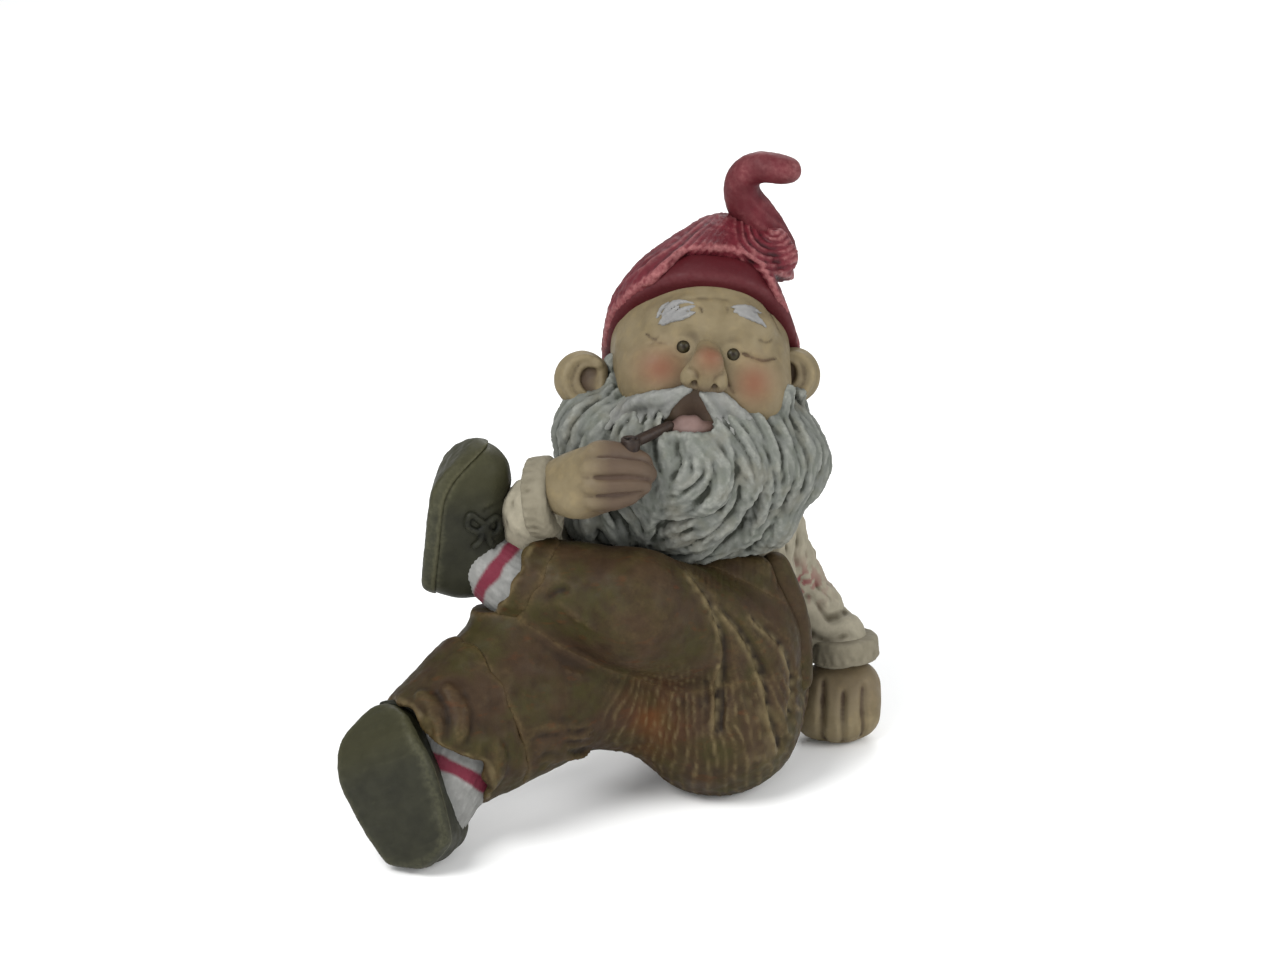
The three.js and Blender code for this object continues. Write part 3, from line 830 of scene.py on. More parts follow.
def sculpt_ear(name, side, out, up):
    rim = [
        (side * (out - 4.0 + 3.8 * math.cos(turn)), 2.2, up - 0.4 + 3.9 * math.sin(turn), 2.05)
        for turn in np.radians(np.arange(-110, 111, 20))
    ]
    root = [(side * (out - 7.0), 3, up + 2, 2.2), (side * (out - 7.0), 3.5, up - 3.2, 2.2)]
    shell = HEAD.balls(rim + root)
    clay = Clay.around(shell, FINE)
    clay.hull(shell)
    # The hollow, the rolled rim round it and the inner fold.
    hollow = HEAD.balls([(side * (out - 4.6), 7.0, up + 0.4, 3.4), (side * (out - 5.4), 7.2, up - 2.2, 3.0)])
    clay.lump(hollow, 0.6, cut=True)
    rim = [
        (side * (out - 7.6), 6.0, up + 3.6),
        (side * (out - 4.4), 5.0, up + 4.4),
        (side * (out - 1.2), 4.6, up + 2.4),
        (side * (out - 0.4), 4.6, up - 1.0),
        (side * (out - 2.2), 5.0, up - 4.6),
        (side * (out - 5.0), 5.4, up - 5.4),
    ]
    clay.line(HEAD.path(rim), 1.8, 0.6, 0.4)
    fold = [
        (side * (out - 6.6), 6.0, up + 1.8),
        (side * (out - 4.0), 5.2, up + 1.4),
        (side * (out - 3.6), 5.2, up - 1.4),
        (side * (out - 5.4), 5.6, up - 3.2),
    ]
    clay.line(HEAD.path(fold), 1.1, 0.6, 0.3)

    # Painted shade in the ear's hollow.
    def ear_hollow_shade(points):
        s, f, u = HEAD.local(points)
        return 0.55 * np.exp(-((s - side * (out - 5.0)) ** 2 + (u - up + 0.4) ** 2) / 2.2**2)

    show(name, clay, SKIN, uneven(0.08, 2.0, 7), second=ear_hollow_shade)


def sculpt_eye(name, sideways, up):
    balls = HEAD.balls([(sideways, 15.2, up, 1.7), (sideways, 16.1, up, 1.55)])
    clay = Clay.around(balls, 0.2, 1)
    clay.lump(balls, 0.2)

    def rim(points):
        s, f, u = HEAD.local(points)
        ring = np.hypot(s - sideways, u - up)
        return 0.55 * band(ring, 0.75, 0.3, 0.5)

    show(name, clay, EYE, tint=rim)


def sculpt_lower_lip(face):
    lip = [(*p, 1.2) for p in sketch(face, [(6.4, 10.2), (10.2, 9.4), (14.0, 10.2)])]
    tongue = [(*(p + 0.5 * LOOK), 1.4) for p in sketch(face, [(8.6, 11.4), (10.8, 11.4), (9.8, 10.2)])]
    bead = [(*p, 0.75) for p in sketch(face, [(15.9, 10.4)])]
    clay = Clay.around(lip + tongue + bead, 0.3)
    clay.stroke([(x, y + 0.8, z, r) for x, y, z, r in lip], 1.0)
    clay.lump(tongue, 0.8)
    clay.lump([(x, y - 1.0, z, r) for x, y, z, r in bead], 0.2)

    def pink(points):
        a, b = seen(points)
        return np.clip(1.5 - np.hypot((a - 9.8) / 2.6, (b - 11.0) / 2.2), 0, 1)

    show("lower_lip", clay, MOUTH, uneven(0.06, 0.9, 4), pink)


# ---- Hair ------------------------------------------------------------------------------------------------
def locks(clay, face, rows, width, lift):
    """Adds locks that lie over the face, each sketched as (right, up) points and thickest in its middle."""
    for row in rows:
        points = dense(np.array(sketch(face, row)) - lift * LOOK, 0.7)
        t = np.linspace(0, 1, len(points))
        radii = width / 2 * (0.35 + 0.65 * np.sin(np.pi * (0.14 + 0.8 * t)) ** 0.8)
        clay.limb(tapered(points, radii), 0.25)


def sculpt_brow(name, face, strokes, width):
    """A flat feathery tuft, laid on the forehead in short strokes."""
    paths = [np.array(sketch(face, stroke)) - 0.2 * LOOK for stroke in strokes]
    clay = Clay.around([(*p, 1.2) for path in paths for p in path], 0.3)
    for path in paths:
        points = dense(path, 0.5)
        t = np.linspace(0, 1, len(points))
        radii = width / 2 * (0.35 + 0.65 * np.sin(np.pi * (0.1 + 0.85 * t)))
        clay.limb(np.hstack([points, radii[:, None]]), 0.2)
    show(name, clay, HAIR, uneven(0.1, 0.6, 11), everywhere(1))


def sculpt_moustache(name, face, rows, width):
    reach = [(*p, width) for row in rows for p in sketch(face, row)]
    clay = Clay.around(reach, FINE, 1.0)
    locks(clay, face, rows, width, 1.4)
    flow = combed(rows, 1.0)

    def paler(points):
        return 0.35 + 0.3 * np.clip(lattice_noise(points, 1.5, 44), 0, 1)

    show(name, clay, HAIR, lambda p, n: 0.24 * streaks(p, flow(p, n), 0.5, 4.0, 8), paler)


# How the beard's hair flows, each line as (right, up) points in the view.
BEARD_GUIDES = [
    [(34.3, 13.3), (36.6, 6.4), (35.1, -2.4), (33.6, -8.0)],
    [(27.4, 12.1), (30.9, 4.5), (32.4, -2.4), (29.7, -9.5)],
    [(18.3, 13.3), (21.7, 6.4), (25.1, -0.9), (25.9, -7.8), (25.1, -12.6)],
    [(12.9, 8.3), (17.9, 2.9), (19.4, -4.0), (17.5, -9.3), (11.8, -15.7)],
    [(10.6, 7.9), (14.4, 3.7), (15.6, -0.9), (11.4, -4.7), (4.5, -7.8), (1.4, -12.6)],
    [(9.8, 7.9), (12.1, 3.7), (9.1, 0.6), (4.5, -2.4)],
    [(1.4, 7.5), (2.0, 2.9), (4.3, -1.4)],
    [(-3.9, -4.0), (-0.9, -5.5), (0.7, -10.1), (-1.6, -15.7)],
    [(-10.4, -6.3), (-10.4, -12.0)],
    [(-7.4, -7.0), (-4.7, -11.6), (-1.6, -16.0)],
    [(-15.0, -6.5), (-15.8, -12.0)],
    [(18.3, -4.7), (14.4, -10.1), (9.1, -13.1), (3.0, -17.0)],
    [(-8.5, 17.9), (-13.5, 12.9), (-16.6, 7.5), (-17.3, 4.0)],
]


BEARD = [
    (-19.5, 11, 80.0, 4.6),
    (10.0, 12, 77, 6.4),
    (-24.0, 6, 73, 5.6),
    (15.0, 8, 67.5, 6.6),
    (-3, 1, 70, 12.0),
    (-4, 3, 60, 9.6),
    (-19, 4, 60, 6.0),
    (10.6, 8, 60, 6.8),
]
BEARD_HEM = [(-24.5, 1, 56.6, 2.6), (-17, 2, 60.3, 5.8), (-6, 1, 57.2, 4.4), (11.5, 5, 56.8, 4.4)]
SIDEBURNS = [
    [(30.6, 21.6), (29.8, 18.0), (28.9, 14.0), (29.4, 9.0)],
    [(32.0, 19.8), (31.8, 16.0), (32.2, 11.0)],
    [(29.2, 17.6), (28.2, 13.6), (28.2, 9.0)],
    [(28.4, 14.0), (26.6, 11.0), (26.4, 7.0)],
    [(-5.6, 24.4), (-7.4, 20.0), (-9.4, 15.0)],
    [(-5.6, 20.6), (-6.8, 16.6), (-8.6, 12.0)],
    [(-7.6, 21.4), (-10.4, 17.4), (-13.0, 13.4)],
    [(-4.4, 16.0), (-5.6, 13.0), (-8.0, 9.0)],
]
# Each is (right, up, radius) in the view.
MOUTH_OPENING = [(10.6, 17.6, 0.9), (7.9, 13.6, 1.4), (12.6, 13.6, 1.8), (5.4, 11.2, 1.2), (13.4, 11.2, 1.4)]


def face_clay():
    """The plain shape of the face and beard together, for sketching on."""
    clay = Clay.around(SKULL + BEARD, COARSE)
    clay.hull(SKULL)
    clay.hull(BEARD)
    return clay


def sculpt_beard(face):
    clay = Clay.around(BEARD + BEARD_HEM, FINE, 3)
    clay.hull(BEARD)
    clay.hull(BEARD_HEM, 1.0)
    flow = combed(BEARD_GUIDES)
    # Broad locks, and thinner ones over them.
    for size, spacing, lift, seed in ((2.2, 5.4, 0.3, 21), (0.85, 3.6, 0.55, 22)):
        clay.strands(clay.scatter(spacing, seed), flow, 13, 1.2, size, lift, 0.5, seed)
    locks(clay, face, SIDEBURNS, 3.0, 0.2)
    # The opening for the mouth, and the room for the ears.
    opening = []
    for right, up, radius in MOUTH_OPENING:
        at = sketch(face, [(right, up)])[0]
        opening += [(*(at + 1.5 * LOOK), radius), (*(at - 8 * LOOK), radius + 0.5)]
    clay.hull(opening, 0.5, cut=True)
    for side, out, up in EARS.values():
        room = [(out - 6, 4, up + 1, 3.2), (out - 1.5, 6, up + 0.5, 3.4), (out - 4, 9, up - 1, 3.6)]
        clay.lump(HEAD.balls([(side * s, f, u, r) for s, f, u, r in room]), 0.5, cut=True)

    def fine_hair(points, normals):
        way = flow(points, normals)
        wavy = way + 0.3 * np.cross(normals, way) * lattice_noise(points, 5.0, 20)[:, None]
        return 0.36 * streaks(points, wavy, 0.55, 7.5, 9) + 0.25 * streaks(points, wavy, 1.3, 9.0, 19)

    show("beard", clay, HAIR, fine_hair)


def sculpt_back_hair():
    balls = [(-12, 30, 76, 5.9), (8, 30, 76, 5.9), (-2, 34, 70, 4.9)]
    clay = Clay.around(balls, MEDIUM, 3)
    clay.hull(balls)

    def flow(points, normals):
        return np.tile((0.0, 0.25, -1.0), (len(points), 1)) + 0.3 * np.sin(points[:, :1] * 0.5) * ACROSS

    clay.strands(clay.scatter(3.4, 31), flow, 8, 1.3, 1.7, 0.6, 0.3, 31)
    show("back_hair", clay, HAIR, lambda p, n: 0.2 * streaks(p, flow(p, n), 0.6, 4.5, 10))


# ---- The hat ---------------------------------------------------------------------------------------------
def brim_place():
    rise = math.radians(38)
    normal = HEAD.u * math.cos(rise) - HEAD.f * math.sin(rise)
    return Place(HEAD.at(0, 0, 1.2), normal, HEAD.f)


BRIM = brim_place()
BAND = HEAD.balls([(0.3, 0.8, 3.0, 19.7), (0.3, -7, 0, 19.2)])


NOTCH_SLANT = (0.92, 0.39)  # the way out of the notch's slanting side, as (right, up) in the view
NOTCH_CORNER = (26.9, 40.9)  # a point of that side
NOTCH_TOP = 40.6

def hat_notch(clay):
    """Cuts in under the fold of the crown, at the figure's left."""
    middle = EYE_POINT + LOOK * DISTANCE
    side = Place(middle, NOTCH_SLANT[0] * ACROSS + NOTCH_SLANT[1] * UPRIGHT, LOOK)
    outside = clay.local(side)[1] - (NOTCH_SLANT[0] * NOTCH_CORNER[0] + NOTCH_SLANT[1] * NOTCH_CORNER[1])
    below = NOTCH_TOP - clay.local(Place(middle, UPRIGHT, LOOK))[1]
    clay.trim(np.minimum(outside, below), 1.2)


def sculpt_hat_band():
    clay = Clay.around(BAND, MEDIUM)
    clay.hull(BAND)
    clay.plane(BRIM.at(0, 0, 0), -BRIM.f, 1.5)
    clay.plane(BRIM.at(0, 9, 0), BRIM.f, 0.5)
    hat_notch(clay)
    # The whole band takes tint: painted shade under the overhanging crown.
    show("hat_band", clay, HAT, uneven(0.12, 4.0, 12), everywhere(1))


CROWN = [(-1.2, 14, 93.5, 18.3), (-0.8, 23, 91.5, 18.5), (2.4, 22.5, 105.0, 9.7), (9.5, 26, 104.5, 6.3)]
TAIL = [
    (12.8, 25.5, 106.0, 4.6),
    (9.2, 24.5, 113.2, 4.0),
    (6.2, 23, 118.4, 3.4),
    (6.4, 21.5, 122.8, 3.0),
    (9.4, 20, 125.2, 2.8),
    (15.2, 18.5, 124.9, 2.6),
]


def sculpt_hat_crown():
    balls = CROWN + [(12.5, 25, 103.5, 4.0)]
    clay = Clay.around(balls, FINE, 3)
    clay.hull(balls)
    clay.hull([(*ball[:3], ball[3] + 0.4) for ball in BAND], 1.0)
    # Its lower edge overhangs the band over the brow, and comes down to the brim at both sides.
    s, f, u = clay.local(BRIM)
    away = np.clip((np.abs(s + 0.5) - 6) / 7, 0, 1) * (u > 0) + (u <= 0)
    edge = 6.6 - 6.2 * away * away * (3 - 2 * away)
    clay.trim(edge - f, 1.2)
    hat_notch(clay)
    # The rounded lobe that the crown folds into beside its tail.
    clay.lump([(14.0, 19.5, 106.8, 3.5), (12.6, 20.5, 109.0, 3.4)], 1.5)
    tail_root = np.array(TAIL[0][:3])

    def flow(points, normals):
        to_tail = unit(tail_root - points)
        return to_tail + 0.45 * np.cross(normals, to_tail)

    def ribs(points, normals):
        a, b = seen(points)
        warp = 0.25 * lattice_noise(points, 3.0, 43)
        # Ribs fan down from the top on one side, and ring the lobe on the other.
        angle = np.arctan2(a - 25, -(b - 61)) + 0.06 * warp
        fan = np.cos(angle * 110)
        rings = np.cos((np.hypot(a - 27, b - 51) + warp) * 2 * math.pi / 1.35)
        which = np.clip((a - 17.5) / 2.5, 0, 1)
        regular = fan * (1 - which) + rings * which
        front = np.clip(-(normals @ LOOK) * 2.5, 0, 1) * np.clip((b - 39) / 3, 0, 1)
        loose = 0.24 * streaks(points, flow(points, normals), 0.7, 6.0, 13)
        return front * (0.22 * regular + 0.6 * loose) + (1 - front) * loose

    show("hat_crown", clay, HAT, ribs)


def sculpt_hat_tail():
    clay = Clay.around(TAIL, FINE, 3)
    clay.stroke(TAIL, 1.0, step=1.5)

    def flow(points, normals):
        return np.tile((-0.3, -0.1, 1.0), (len(points), 1)) + 0.7 * np.cross(normals, (0, 0, 1.0))

    def ribs(points, normals):
        fade = np.clip((124 - points[:, 2]) / 8, 0.3, 1)
        return 0.24 * fade * streaks(points, flow(points, normals), 0.8, 6.0, 14)

    show("hat_tail", clay, HAT, ribs, lambda p: 0.5 + 0.3 * lattice_noise(p, 3.0, 14))


# ---- Hands and pipe --------------------------------------------------------------------------------------
# Four fingers curl round the pipe's bowl, one above the other.
FINGERS = [
    [(-9.5, 6.6), (-5.0, 6.6), (-0.5, 6.2), (2.8, 4.6)],
    [(-10.5, 2.4), (-5.5, 2.4), (-1.0, 2.2), (2.6, 1.2)],
    [(-10.5, -1.4), (-5.5, -1.4), (-1.5, -1.2), (1.4, -1.4)],
    [(-9.5, -4.8), (-5.0, -4.6), (-1.6, -3.8)],
]
FINGER_GAPS = [
    [(-8.5, 4.7), (-1.0, 4.3), (3.0, 2.8)],
    [(-9.0, 0.5), (-1.5, 0.5), (2.2, 0.0)],
    [(-8.5, -3.2), (-3.5, -3.0), (0.4, -2.6)],
]
PAW_GROOVES = [
    [(36.6, -40.1), (36.4, -46.5), (36.8, -53.5)],
    [(40.6, -42.3), (40.5, -47.5), (40.6, -53.5)],
    [(44.6, -41.3), (44.6, -46.0), (44.2, -51.5)],
]

def sculpt_right_hand():
    palm = [
        (-28.5, -11.5, 69.0, 6.2),
        (-22.5, -15.5, 73.0, 5.9),
        (-26.0, -15.0, 69.2, 5.7),
        (-17.0, -14.8, 72.0, 5.2),
        (-20.0, -15.0, 70.5, 5.0),
    ]
    clay = Clay.around(palm, FINE, 2)
    clay.hull(palm)
    clay.draw(FINGERS, 4.4, 0.8, 0.5, 0.75)
    clay.draw(FINGER_GAPS, 1.1, -0.5, 0.4)

    # Painted shade, darker towards the fist's right side, which is turned away from the light.
    def painted_shade(points):
        return 0.95 * np.clip((points[:, 0] + 27) / 7, 0, 1)

    show("right_hand", clay, SKIN, uneven(0.12, 2.4, 15), second=painted_shade)


def sculpt_left_hand():
    balls = [
        (25.4, 24, 10.6, 5.6),
        (31.0, 24, 11.0, 5.6),
        (23.4, 21, 5.4, 5.2),
        (31.4, 21.5, 5.6, 5.2),
        (28.0, 19.5, 5.0, 5.1),
        (28.0, 27, 6.0, 5.4),
    ]
    clay = Clay.around(balls, FINE)
    clay.hull(balls)
    clay.draw(PAW_GROOVES, 1.6, -0.55, 0.6)
    clay.ground()

    # Painted shade, darker towards the top, as the floor lights the hand from below.
    def painted_shade(points):
        return 0.35 * np.clip((points[:, 2] - 6) / 6, 0, 1)

    show("left_hand", clay, SKIN, uneven(0.12, 2.4, 16), second=painted_shade)


def sculpt_pipe(face):
    stem = [(-15.8, -12.4, 78.2, 1.2), (*(sketch(face, [(5.8, 10.8)])[0] - 1.2 * LOOK), 1.1)]
    clay = Clay.around(stem, FINE)
    clay.limb(stem, 0.5)
    show("pipe_stem", clay, PIPE)
    bowl = [(-16.2, -13.5, 79.0, 2.0), (-16.8, -13.5, 75, 2.0)]
    clay = Clay.around(bowl, FINE)
    clay.limb(bowl, 0.5)
    clay.limb([(-16.0, -13.5, 81.5, 1.2), (-16.4, -13.5, 77.5, 1.1)], 0.3, cut=True)
    clay.plane((-16.2, -13.5, 79.8), (0.1, 0, 1), 0.4)
    show("pipe_bowl", clay, PIPE)


# ---- Knitted jumper --------------------------------------------------------------------------------------
def fleece(clay, axis, spacing, seed, radius, where=None):
    """Short tufts laid round and along a sleeve."""
    axis = unit(axis)

    def flow(points, normals):
        round_it = np.cross(normals, axis)
        lean = lattice_noise(points, 4.0, seed)[:, None] * 1.2
        return axis + round_it * lean

    clay.strands(clay.scatter(spacing, seed, where), flow, 4, 0.9, radius, 0.1, 0.6, seed)


def knit_bumps(points, normals):
    return 0.12 * lattice_noise(points, 0.9, 17) + 0.15 * lattice_noise(points, 2.6, 18)


SLEEVE_FOLDS = [
    [(35.6, -25.0), (38.5, -27.5), (42.0, -26.0)],
    [(33.0, -30.5), (37.0, -32.0), (42.0, -31.0)],
]
LEFT_ARM = [(12, 25, 50, 6.3), (16, 28, 36, 6.3), (21, 28, 26, 6.5), (27, 26, 20.5, 6.7)]
RIGHT_ARM = [(-15, 22, 53, 6.7), (-33, 8, 50, 6.1), (-37.5, -2, 53.5, 6.1), (-35.5, -8, 62.5, 5.9)]


def sculpt_left_sleeve():
    clay = Clay.around(LEFT_ARM, MEDIUM, 3)
    clay.limb(LEFT_ARM, 2)
    fleece(clay, (0.15, 0.1, -1), 2.1, 51, 0.7, lambda p: p[:, 2] > 30)
    clay.draw(SLEEVE_FOLDS, 2.2, -0.4, 1.2)

    def flecks(points):
        a, b = seen(points)
        patch = np.exp(-(((a - 32) / 4.5) ** 2 + ((b + 20.5) / 3.5) ** 2))
        return patch * (lattice_noise(points, 1.1, 19) > 0.05)

    show("left_sleeve", clay, WOOL, knit_bumps, flecks)


def sculpt_right_sleeve():
    clay = Clay.around(RIGHT_ARM, MEDIUM, 3)
    clay.limb(RIGHT_ARM, 2)
    fleece(clay, (-0.3, -0.3, 1), 2.1, 52, 0.7)
    show("right_sleeve", clay, WOOL, knit_bumps)


def sculpt_jumper():
    trunk = [(5, 13, 28, 13.5), (2.5, 22, 46, 13.9), (-1, 23, 62, 9.6)]
    shoulders = [(-13, 23, 52, 7.0), (12.5, 25, 49, 6.2), (-8, 12, 43, 9.5)]
    clay = Clay.around(trunk + shoulders, COARSE, 3)
    clay.limb(trunk, 2)
    clay.hull(shoulders, 2)
    fleece(clay, (0.05, 0.1, -1), 2.3, 53, 0.9, lambda p: p[:, 1] > 12)
    show("jumper", clay, WOOL, knit_bumps)


def sculpt_cuff(name, wrist, radius, notches, start, end):
    """A knitted band round a wrist, carved all round with notches from start to end along it."""
    clay = Clay.around(wrist.balls([(0, -4.4, 0, radius), (0, 0, 0, radius)]), FINE, 1)
    clay.limb(wrist.balls([(0, -4, 0, radius), (0, 0.5, 0, radius)]))
    clay.plane(wrist.at(0, 0.4, 0), wrist.f, 1.0)
    clay.plane(wrist.at(0, -4.8, 0), -wrist.f, 1.0)
    for n in range(notches):
        a = 2 * math.pi * n / notches
        s, u = math.cos(a) * (radius + 0.4), math.sin(a) * (radius + 0.4)
        clay.limb(wrist.balls([(s, start, u, 0.95), (s, end, u, 0.7)]), 0.3, cut=True)
    # The groove between the band and the hand.
    around = np.linspace(0, 2 * math.pi, 40)
    ring = [(radius * math.cos(a), 0.2, radius * math.sin(a), 0.5) for a in around]
    clay.limb(wrist.balls(ring), 0.3, cut=True)
    show(name, clay, WOOL, knit_bumps, second=everywhere(0.6))


# ---- Dungarees -------------------------------------------------------------------------------------------
SEAT = [(1.2, 0, 16, 17.8), (4, 16, 16, 17.0), (5, 13, 28, 15.1)]
BIB = [(-7, 1.5, 46, 3.8), (9, 3, 45, 3.8), (-4, 1, 34, 3.8), (12, 1, 33, 3.8)]
LEFT_LEG = [(5, 1, 30, 13.0), (-16, -15, 44.5, 11.6), (-40.5, -10, 48.6, 9.3)]
RIGHT_LEG = [(-6, 5, 18.5, 14.3), (-28, -8, 26.2, 13.6), (-51.5, -26, 20.0, 12.9)]
RIGHT_KNEE = (-38, -12, 36, 10.7)
LEFT_HEM = Place((-40.5, -10, 48.6), (-0.87, 0.05, 0.47), (0, 0, 1))
RIGHT_HEM = Place((-51.5, -26, 20.0), (-0.78, -0.6, -0.2), (0, 0, 1))


def highlights(points):
    """Painted highlights on the long folds, the cords and the wrinkles, and a paler patch low on the seat."""
    broken = np.clip(0.55 + 0.9 * lattice_noise(points, 1.2, 44), 0, 1)
    folds = near(points, FOLDS, 0.75) * broken
    lower = near(points, [[(24.0, -46.0), (27.0, -50.0), (24.0, -56.0)]], 3.0) * 0.45 * broken
    cords = np.clip(seat_cords(points) * 2.4, 0, 0.75) * broken
    return np.maximum(np.maximum(folds, lower), cords) * (points[:, 1] < 12)


def seat_cords(points):
    """The height of the cords that fan down the front of the seat."""
    a, b = seen(points)
    angle = np.arctan2(a - 11, -(b + 8)) + 0.02 * lattice_noise(points, 4.0, 24)
    low = np.clip((-36 - b) / 6, 0, 1) * np.clip((a + 8) / 4, 0, 1)
    patchy = 0.75 + 0.5 * lattice_noise(points, 3.0, 39)
    return low * patchy * 0.34 * np.clip(np.cos(angle * 150), 0, 1) ** 2


def rust(points):
    """The worn patch low on the front of the seat."""
    a, b = seen(points)
    patchy = 0.7 + 0.5 * lattice_noise(points, 3.0, 23)
    return patchy * np.exp(-(((a - 2.5) / 5.5) ** 2 + ((b + 47.5) / 8) ** 2))


def cloth_relief(points, normals):
    """The cords that fan down the seat, the ribs of the bib, and the unevenness of the cloth."""
    a, b = seen(points)
    facing = np.clip(-(normals @ LOOK) * 3, 0, 1)
    cord = seat_cords(points) * facing
    high = np.clip((b + 23) / 3, 0, 1) * np.clip((a - 8) / 3, 0, 1) * facing
    rib = -0.24 * high * np.clip(np.cos(a * 2 * math.pi / 1.2) * 1.4, 0, 1)
    uneven = 0.2 * lattice_noise(points, 5.0, 26) + 0.1 * lattice_noise(points, 1.6, 25)
    return cord + rib + uneven


FOLDS = [
    [(9.3, -18.7), (15.1, -28.4), (15.7, -38.0), (14.6, -50.0)],
    [(15.1, -25.7), (20.5, -32.1), (23.7, -39.6), (25.9, -48.7), (27.5, -54.1)],
    [(22.1, -27.8), (28.0, -33.7), (30.2, -40.1), (29.6, -46.6)],
]
SEAMS = [[(-15.9, -25.1), (-9.5, -28.9)], [(-14.9, -26.6), (-8.5, -30.4)]]
STITCHES = [
    [(-22.9, -31.6), (-19.1, -34.8), (-15.4, -38.0), (-11.6, -39.0)],
    [(-27.7, -38.5), (-25.6, -38.0)],
    [(-24.0, -43.4), (-22.0, -41.8)],
]


def crease(clay):
    """Folds, seams and wrinkles over the whole garment."""
    for fold in FOLDS:
        path = sketch(clay, fold)
        clay.line([p + (1.0, 0, 0) for p in path], 3.0, -0.45, 1.2)
        clay.line(path, 1.1, 0.65, 0.6)
    clay.draw(SEAMS, 0.9, 0.4)
    for row in STITCHES:
        ends = dense(sketch(clay, row), 1.6)
        for a, b in zip(ends[::2], ends[1::2]):
            clay.line([a, b], 0.8, 0.4, 0.2, 0.6)
    # Wrinkles where the right knee bends, close together and wavy.
    for n in range(7):
        low = -48.8 - 1.25 * n
        wave = 0.5 * math.sin(2.1 * n)
        outer = [(-23.0 + 0.5 * n, low - 1.6), (-18.0, low - 0.2 + wave)]
        inner = [(-13.0, low - 0.6 - wave), (-9.6, low + 0.2)]
        clay.draw([outer + inner], 0.9, 0.5)
    # A small dent on the left knee.
    clay.draw([[(-18.3, -23.6), (-16.6, -22.2), (-14.6, -21.8)]], 1.8, -0.6, 0.6)


def dungarees():
    """The whole garment as one clay, and each of its parts as a plain clay on the same grid."""
    whole = Clay((-64, -41, -1), (24, 36, 62), MEDIUM, 6)
    names = ("dungaree_seat", "left_trouser_leg", "right_trouser_leg", "bib")
    parts = {name: whole.copy() for name in names}
    parts["dungaree_seat"].hull(SEAT)
    parts["left_trouser_leg"].limb(LEFT_LEG, 2)
    parts["right_trouser_leg"].limb(RIGHT_LEG, 2)
    parts["right_trouser_leg"].hull([RIGHT_LEG[1], RIGHT_LEG[2], RIGHT_KNEE], 2)
    parts["bib"].hull(BIB)
    for part in parts.values():
        whole.d = smooth_min(whole.d, part.d, 4)
    whole.margin = 0
    crease(whole)
    whole.ground()
    return whole, parts


def cut_out(whole, parts, name):
    """One part of the garment, which laps a little way under its neighbours."""
    others = np.min([part.d for other, part in parts.items() if other != name], axis=0)
    past = parts[name].d - others
    piece = whole.copy()
    piece.d = np.maximum(whole.d + 0.15 * np.clip(past / 0.5, 0, 1), past - 1.0)
    return piece


def sculpt_dungarees():
    whole, parts = dungarees()
    hems = {"left_trouser_leg": (LEFT_HEM, -4.0), "right_trouser_leg": (RIGHT_HEM, -8.0)}
    for name in parts:
        piece = cut_out(whole, parts, name)
        if name in hems:
            hem, end = hems[name]
            piece.plane(hem.at(0, end, 0), hem.f)
        show(name, piece, CLOTH, cloth_relief, rust, highlights)


def right_turn_up_end(sideways, up):
    """It reaches the shoe at the top and stops short of it below, where the sock shows."""
    t = np.clip((up - 0.5) / 8, 0, 1)
    return 0.8 + 8 * t * t * (3 - 2 * t)


def sculpt_turn_up(name, leg, hem, back, end, folds):
    """A turn-up of the trouser leg, from back to where end(sideways, up) says along its hem's place."""
    grown = [(*ball[:3], ball[3] + 0.25) for ball in leg]
    clay = Clay.around(grown, FINE, 3)
    clay.hull(grown)
    clay.draw(folds, 3.0, 0.6, 1.4)
    s, f, u = clay.local(hem)
    wave = 0.5 * np.sin(s * 0.9) + 0.4 * np.sin(u * 1.1 + 1)
    clay.trim(f - end(s, u) + wave, 0.8)
    clay.trim(-f - back - 0.5 * wave, 1.5)
    inside = clay.copy()
    inside.d = np.full_like(clay.d, FAR)
    inside.hull([(*ball[:3], ball[3] - 1.4) for ball in leg])
    clay.trim(-np.maximum(inside.d, -f - 2.0), 0.6)
    clay.ground()

    def ragged(points, normals):
        return 0.25 * lattice_noise(points, 3.5, 28) + 0.12 * lattice_noise(points, 1.2, 29)

    def frayed(points):
        s, f, u = hem.local(points)
        return 0.6 * band(f, end(s, u) - 0.4, 0.5) * np.clip(0.4 + lattice_noise(points, 1.5, 38), 0, 1)

    show(name, clay, CLOTH, ragged, rust, frayed)


def sculpt_placket():
    balls = [(13.0, 7, 45, 2.8), (17.0, 4, 34, 2.8), (18.0, 1, 22, 2.6)]
    clay = Clay.around(balls, FINE, 2)
    clay.stroke(balls, 1)
    for n in range(7):
        t = n / 6
        at = (28.2 + 3.2 * t + 0.8 * math.sin(math.pi * t), -25.7 - 12.5 * t)
        clay.line(sketch(clay, [at, (at[0] + 1.2, at[1] - 0.3)]), 1.0, 0.4, 0.2, 0.7)
    show("placket", clay, CLOTH, uneven(0.08, 2.0, 32))


def sculpt_brace(name, side):
    balls = [
        (2 + side * 9, 8, 56, 2.4),
        (1 + side * 10, 20, 62, 2.3),
        (1.5 + side * 9, 34.5, 55, 2.4),
        (3 + side * 8, 36.5, 42, 2.4),
        (4 + side * 7, 31, 27, 2.4),
    ]
    clay = Clay.around(balls, MEDIUM, 2)
    clay.limb(balls, 1)
    show(name, clay, CLOTH, uneven(0.08, 2.0, 33))


# ---- Shoes and socks -------------------------------------------------------------------------------------
LEFT_SHOE = Place((-56.3, -6, 61.2), (-0.985, 0.05, 0.12), (0.12, 0, 1))
RIGHT_SHOE = Place((-63.2, -41.5, 16.6), (-0.42, -0.89, 0.12), (-0.46, 0.12, 0.88))
SOLE_THICKNESS = 3.0  # mm


def past_tread(forward, up):
    """How far a point of a shoe's place lies past its tread, which curves up at the toe."""
    return forward + np.clip(up - 5, 0, None) ** 2 / 18

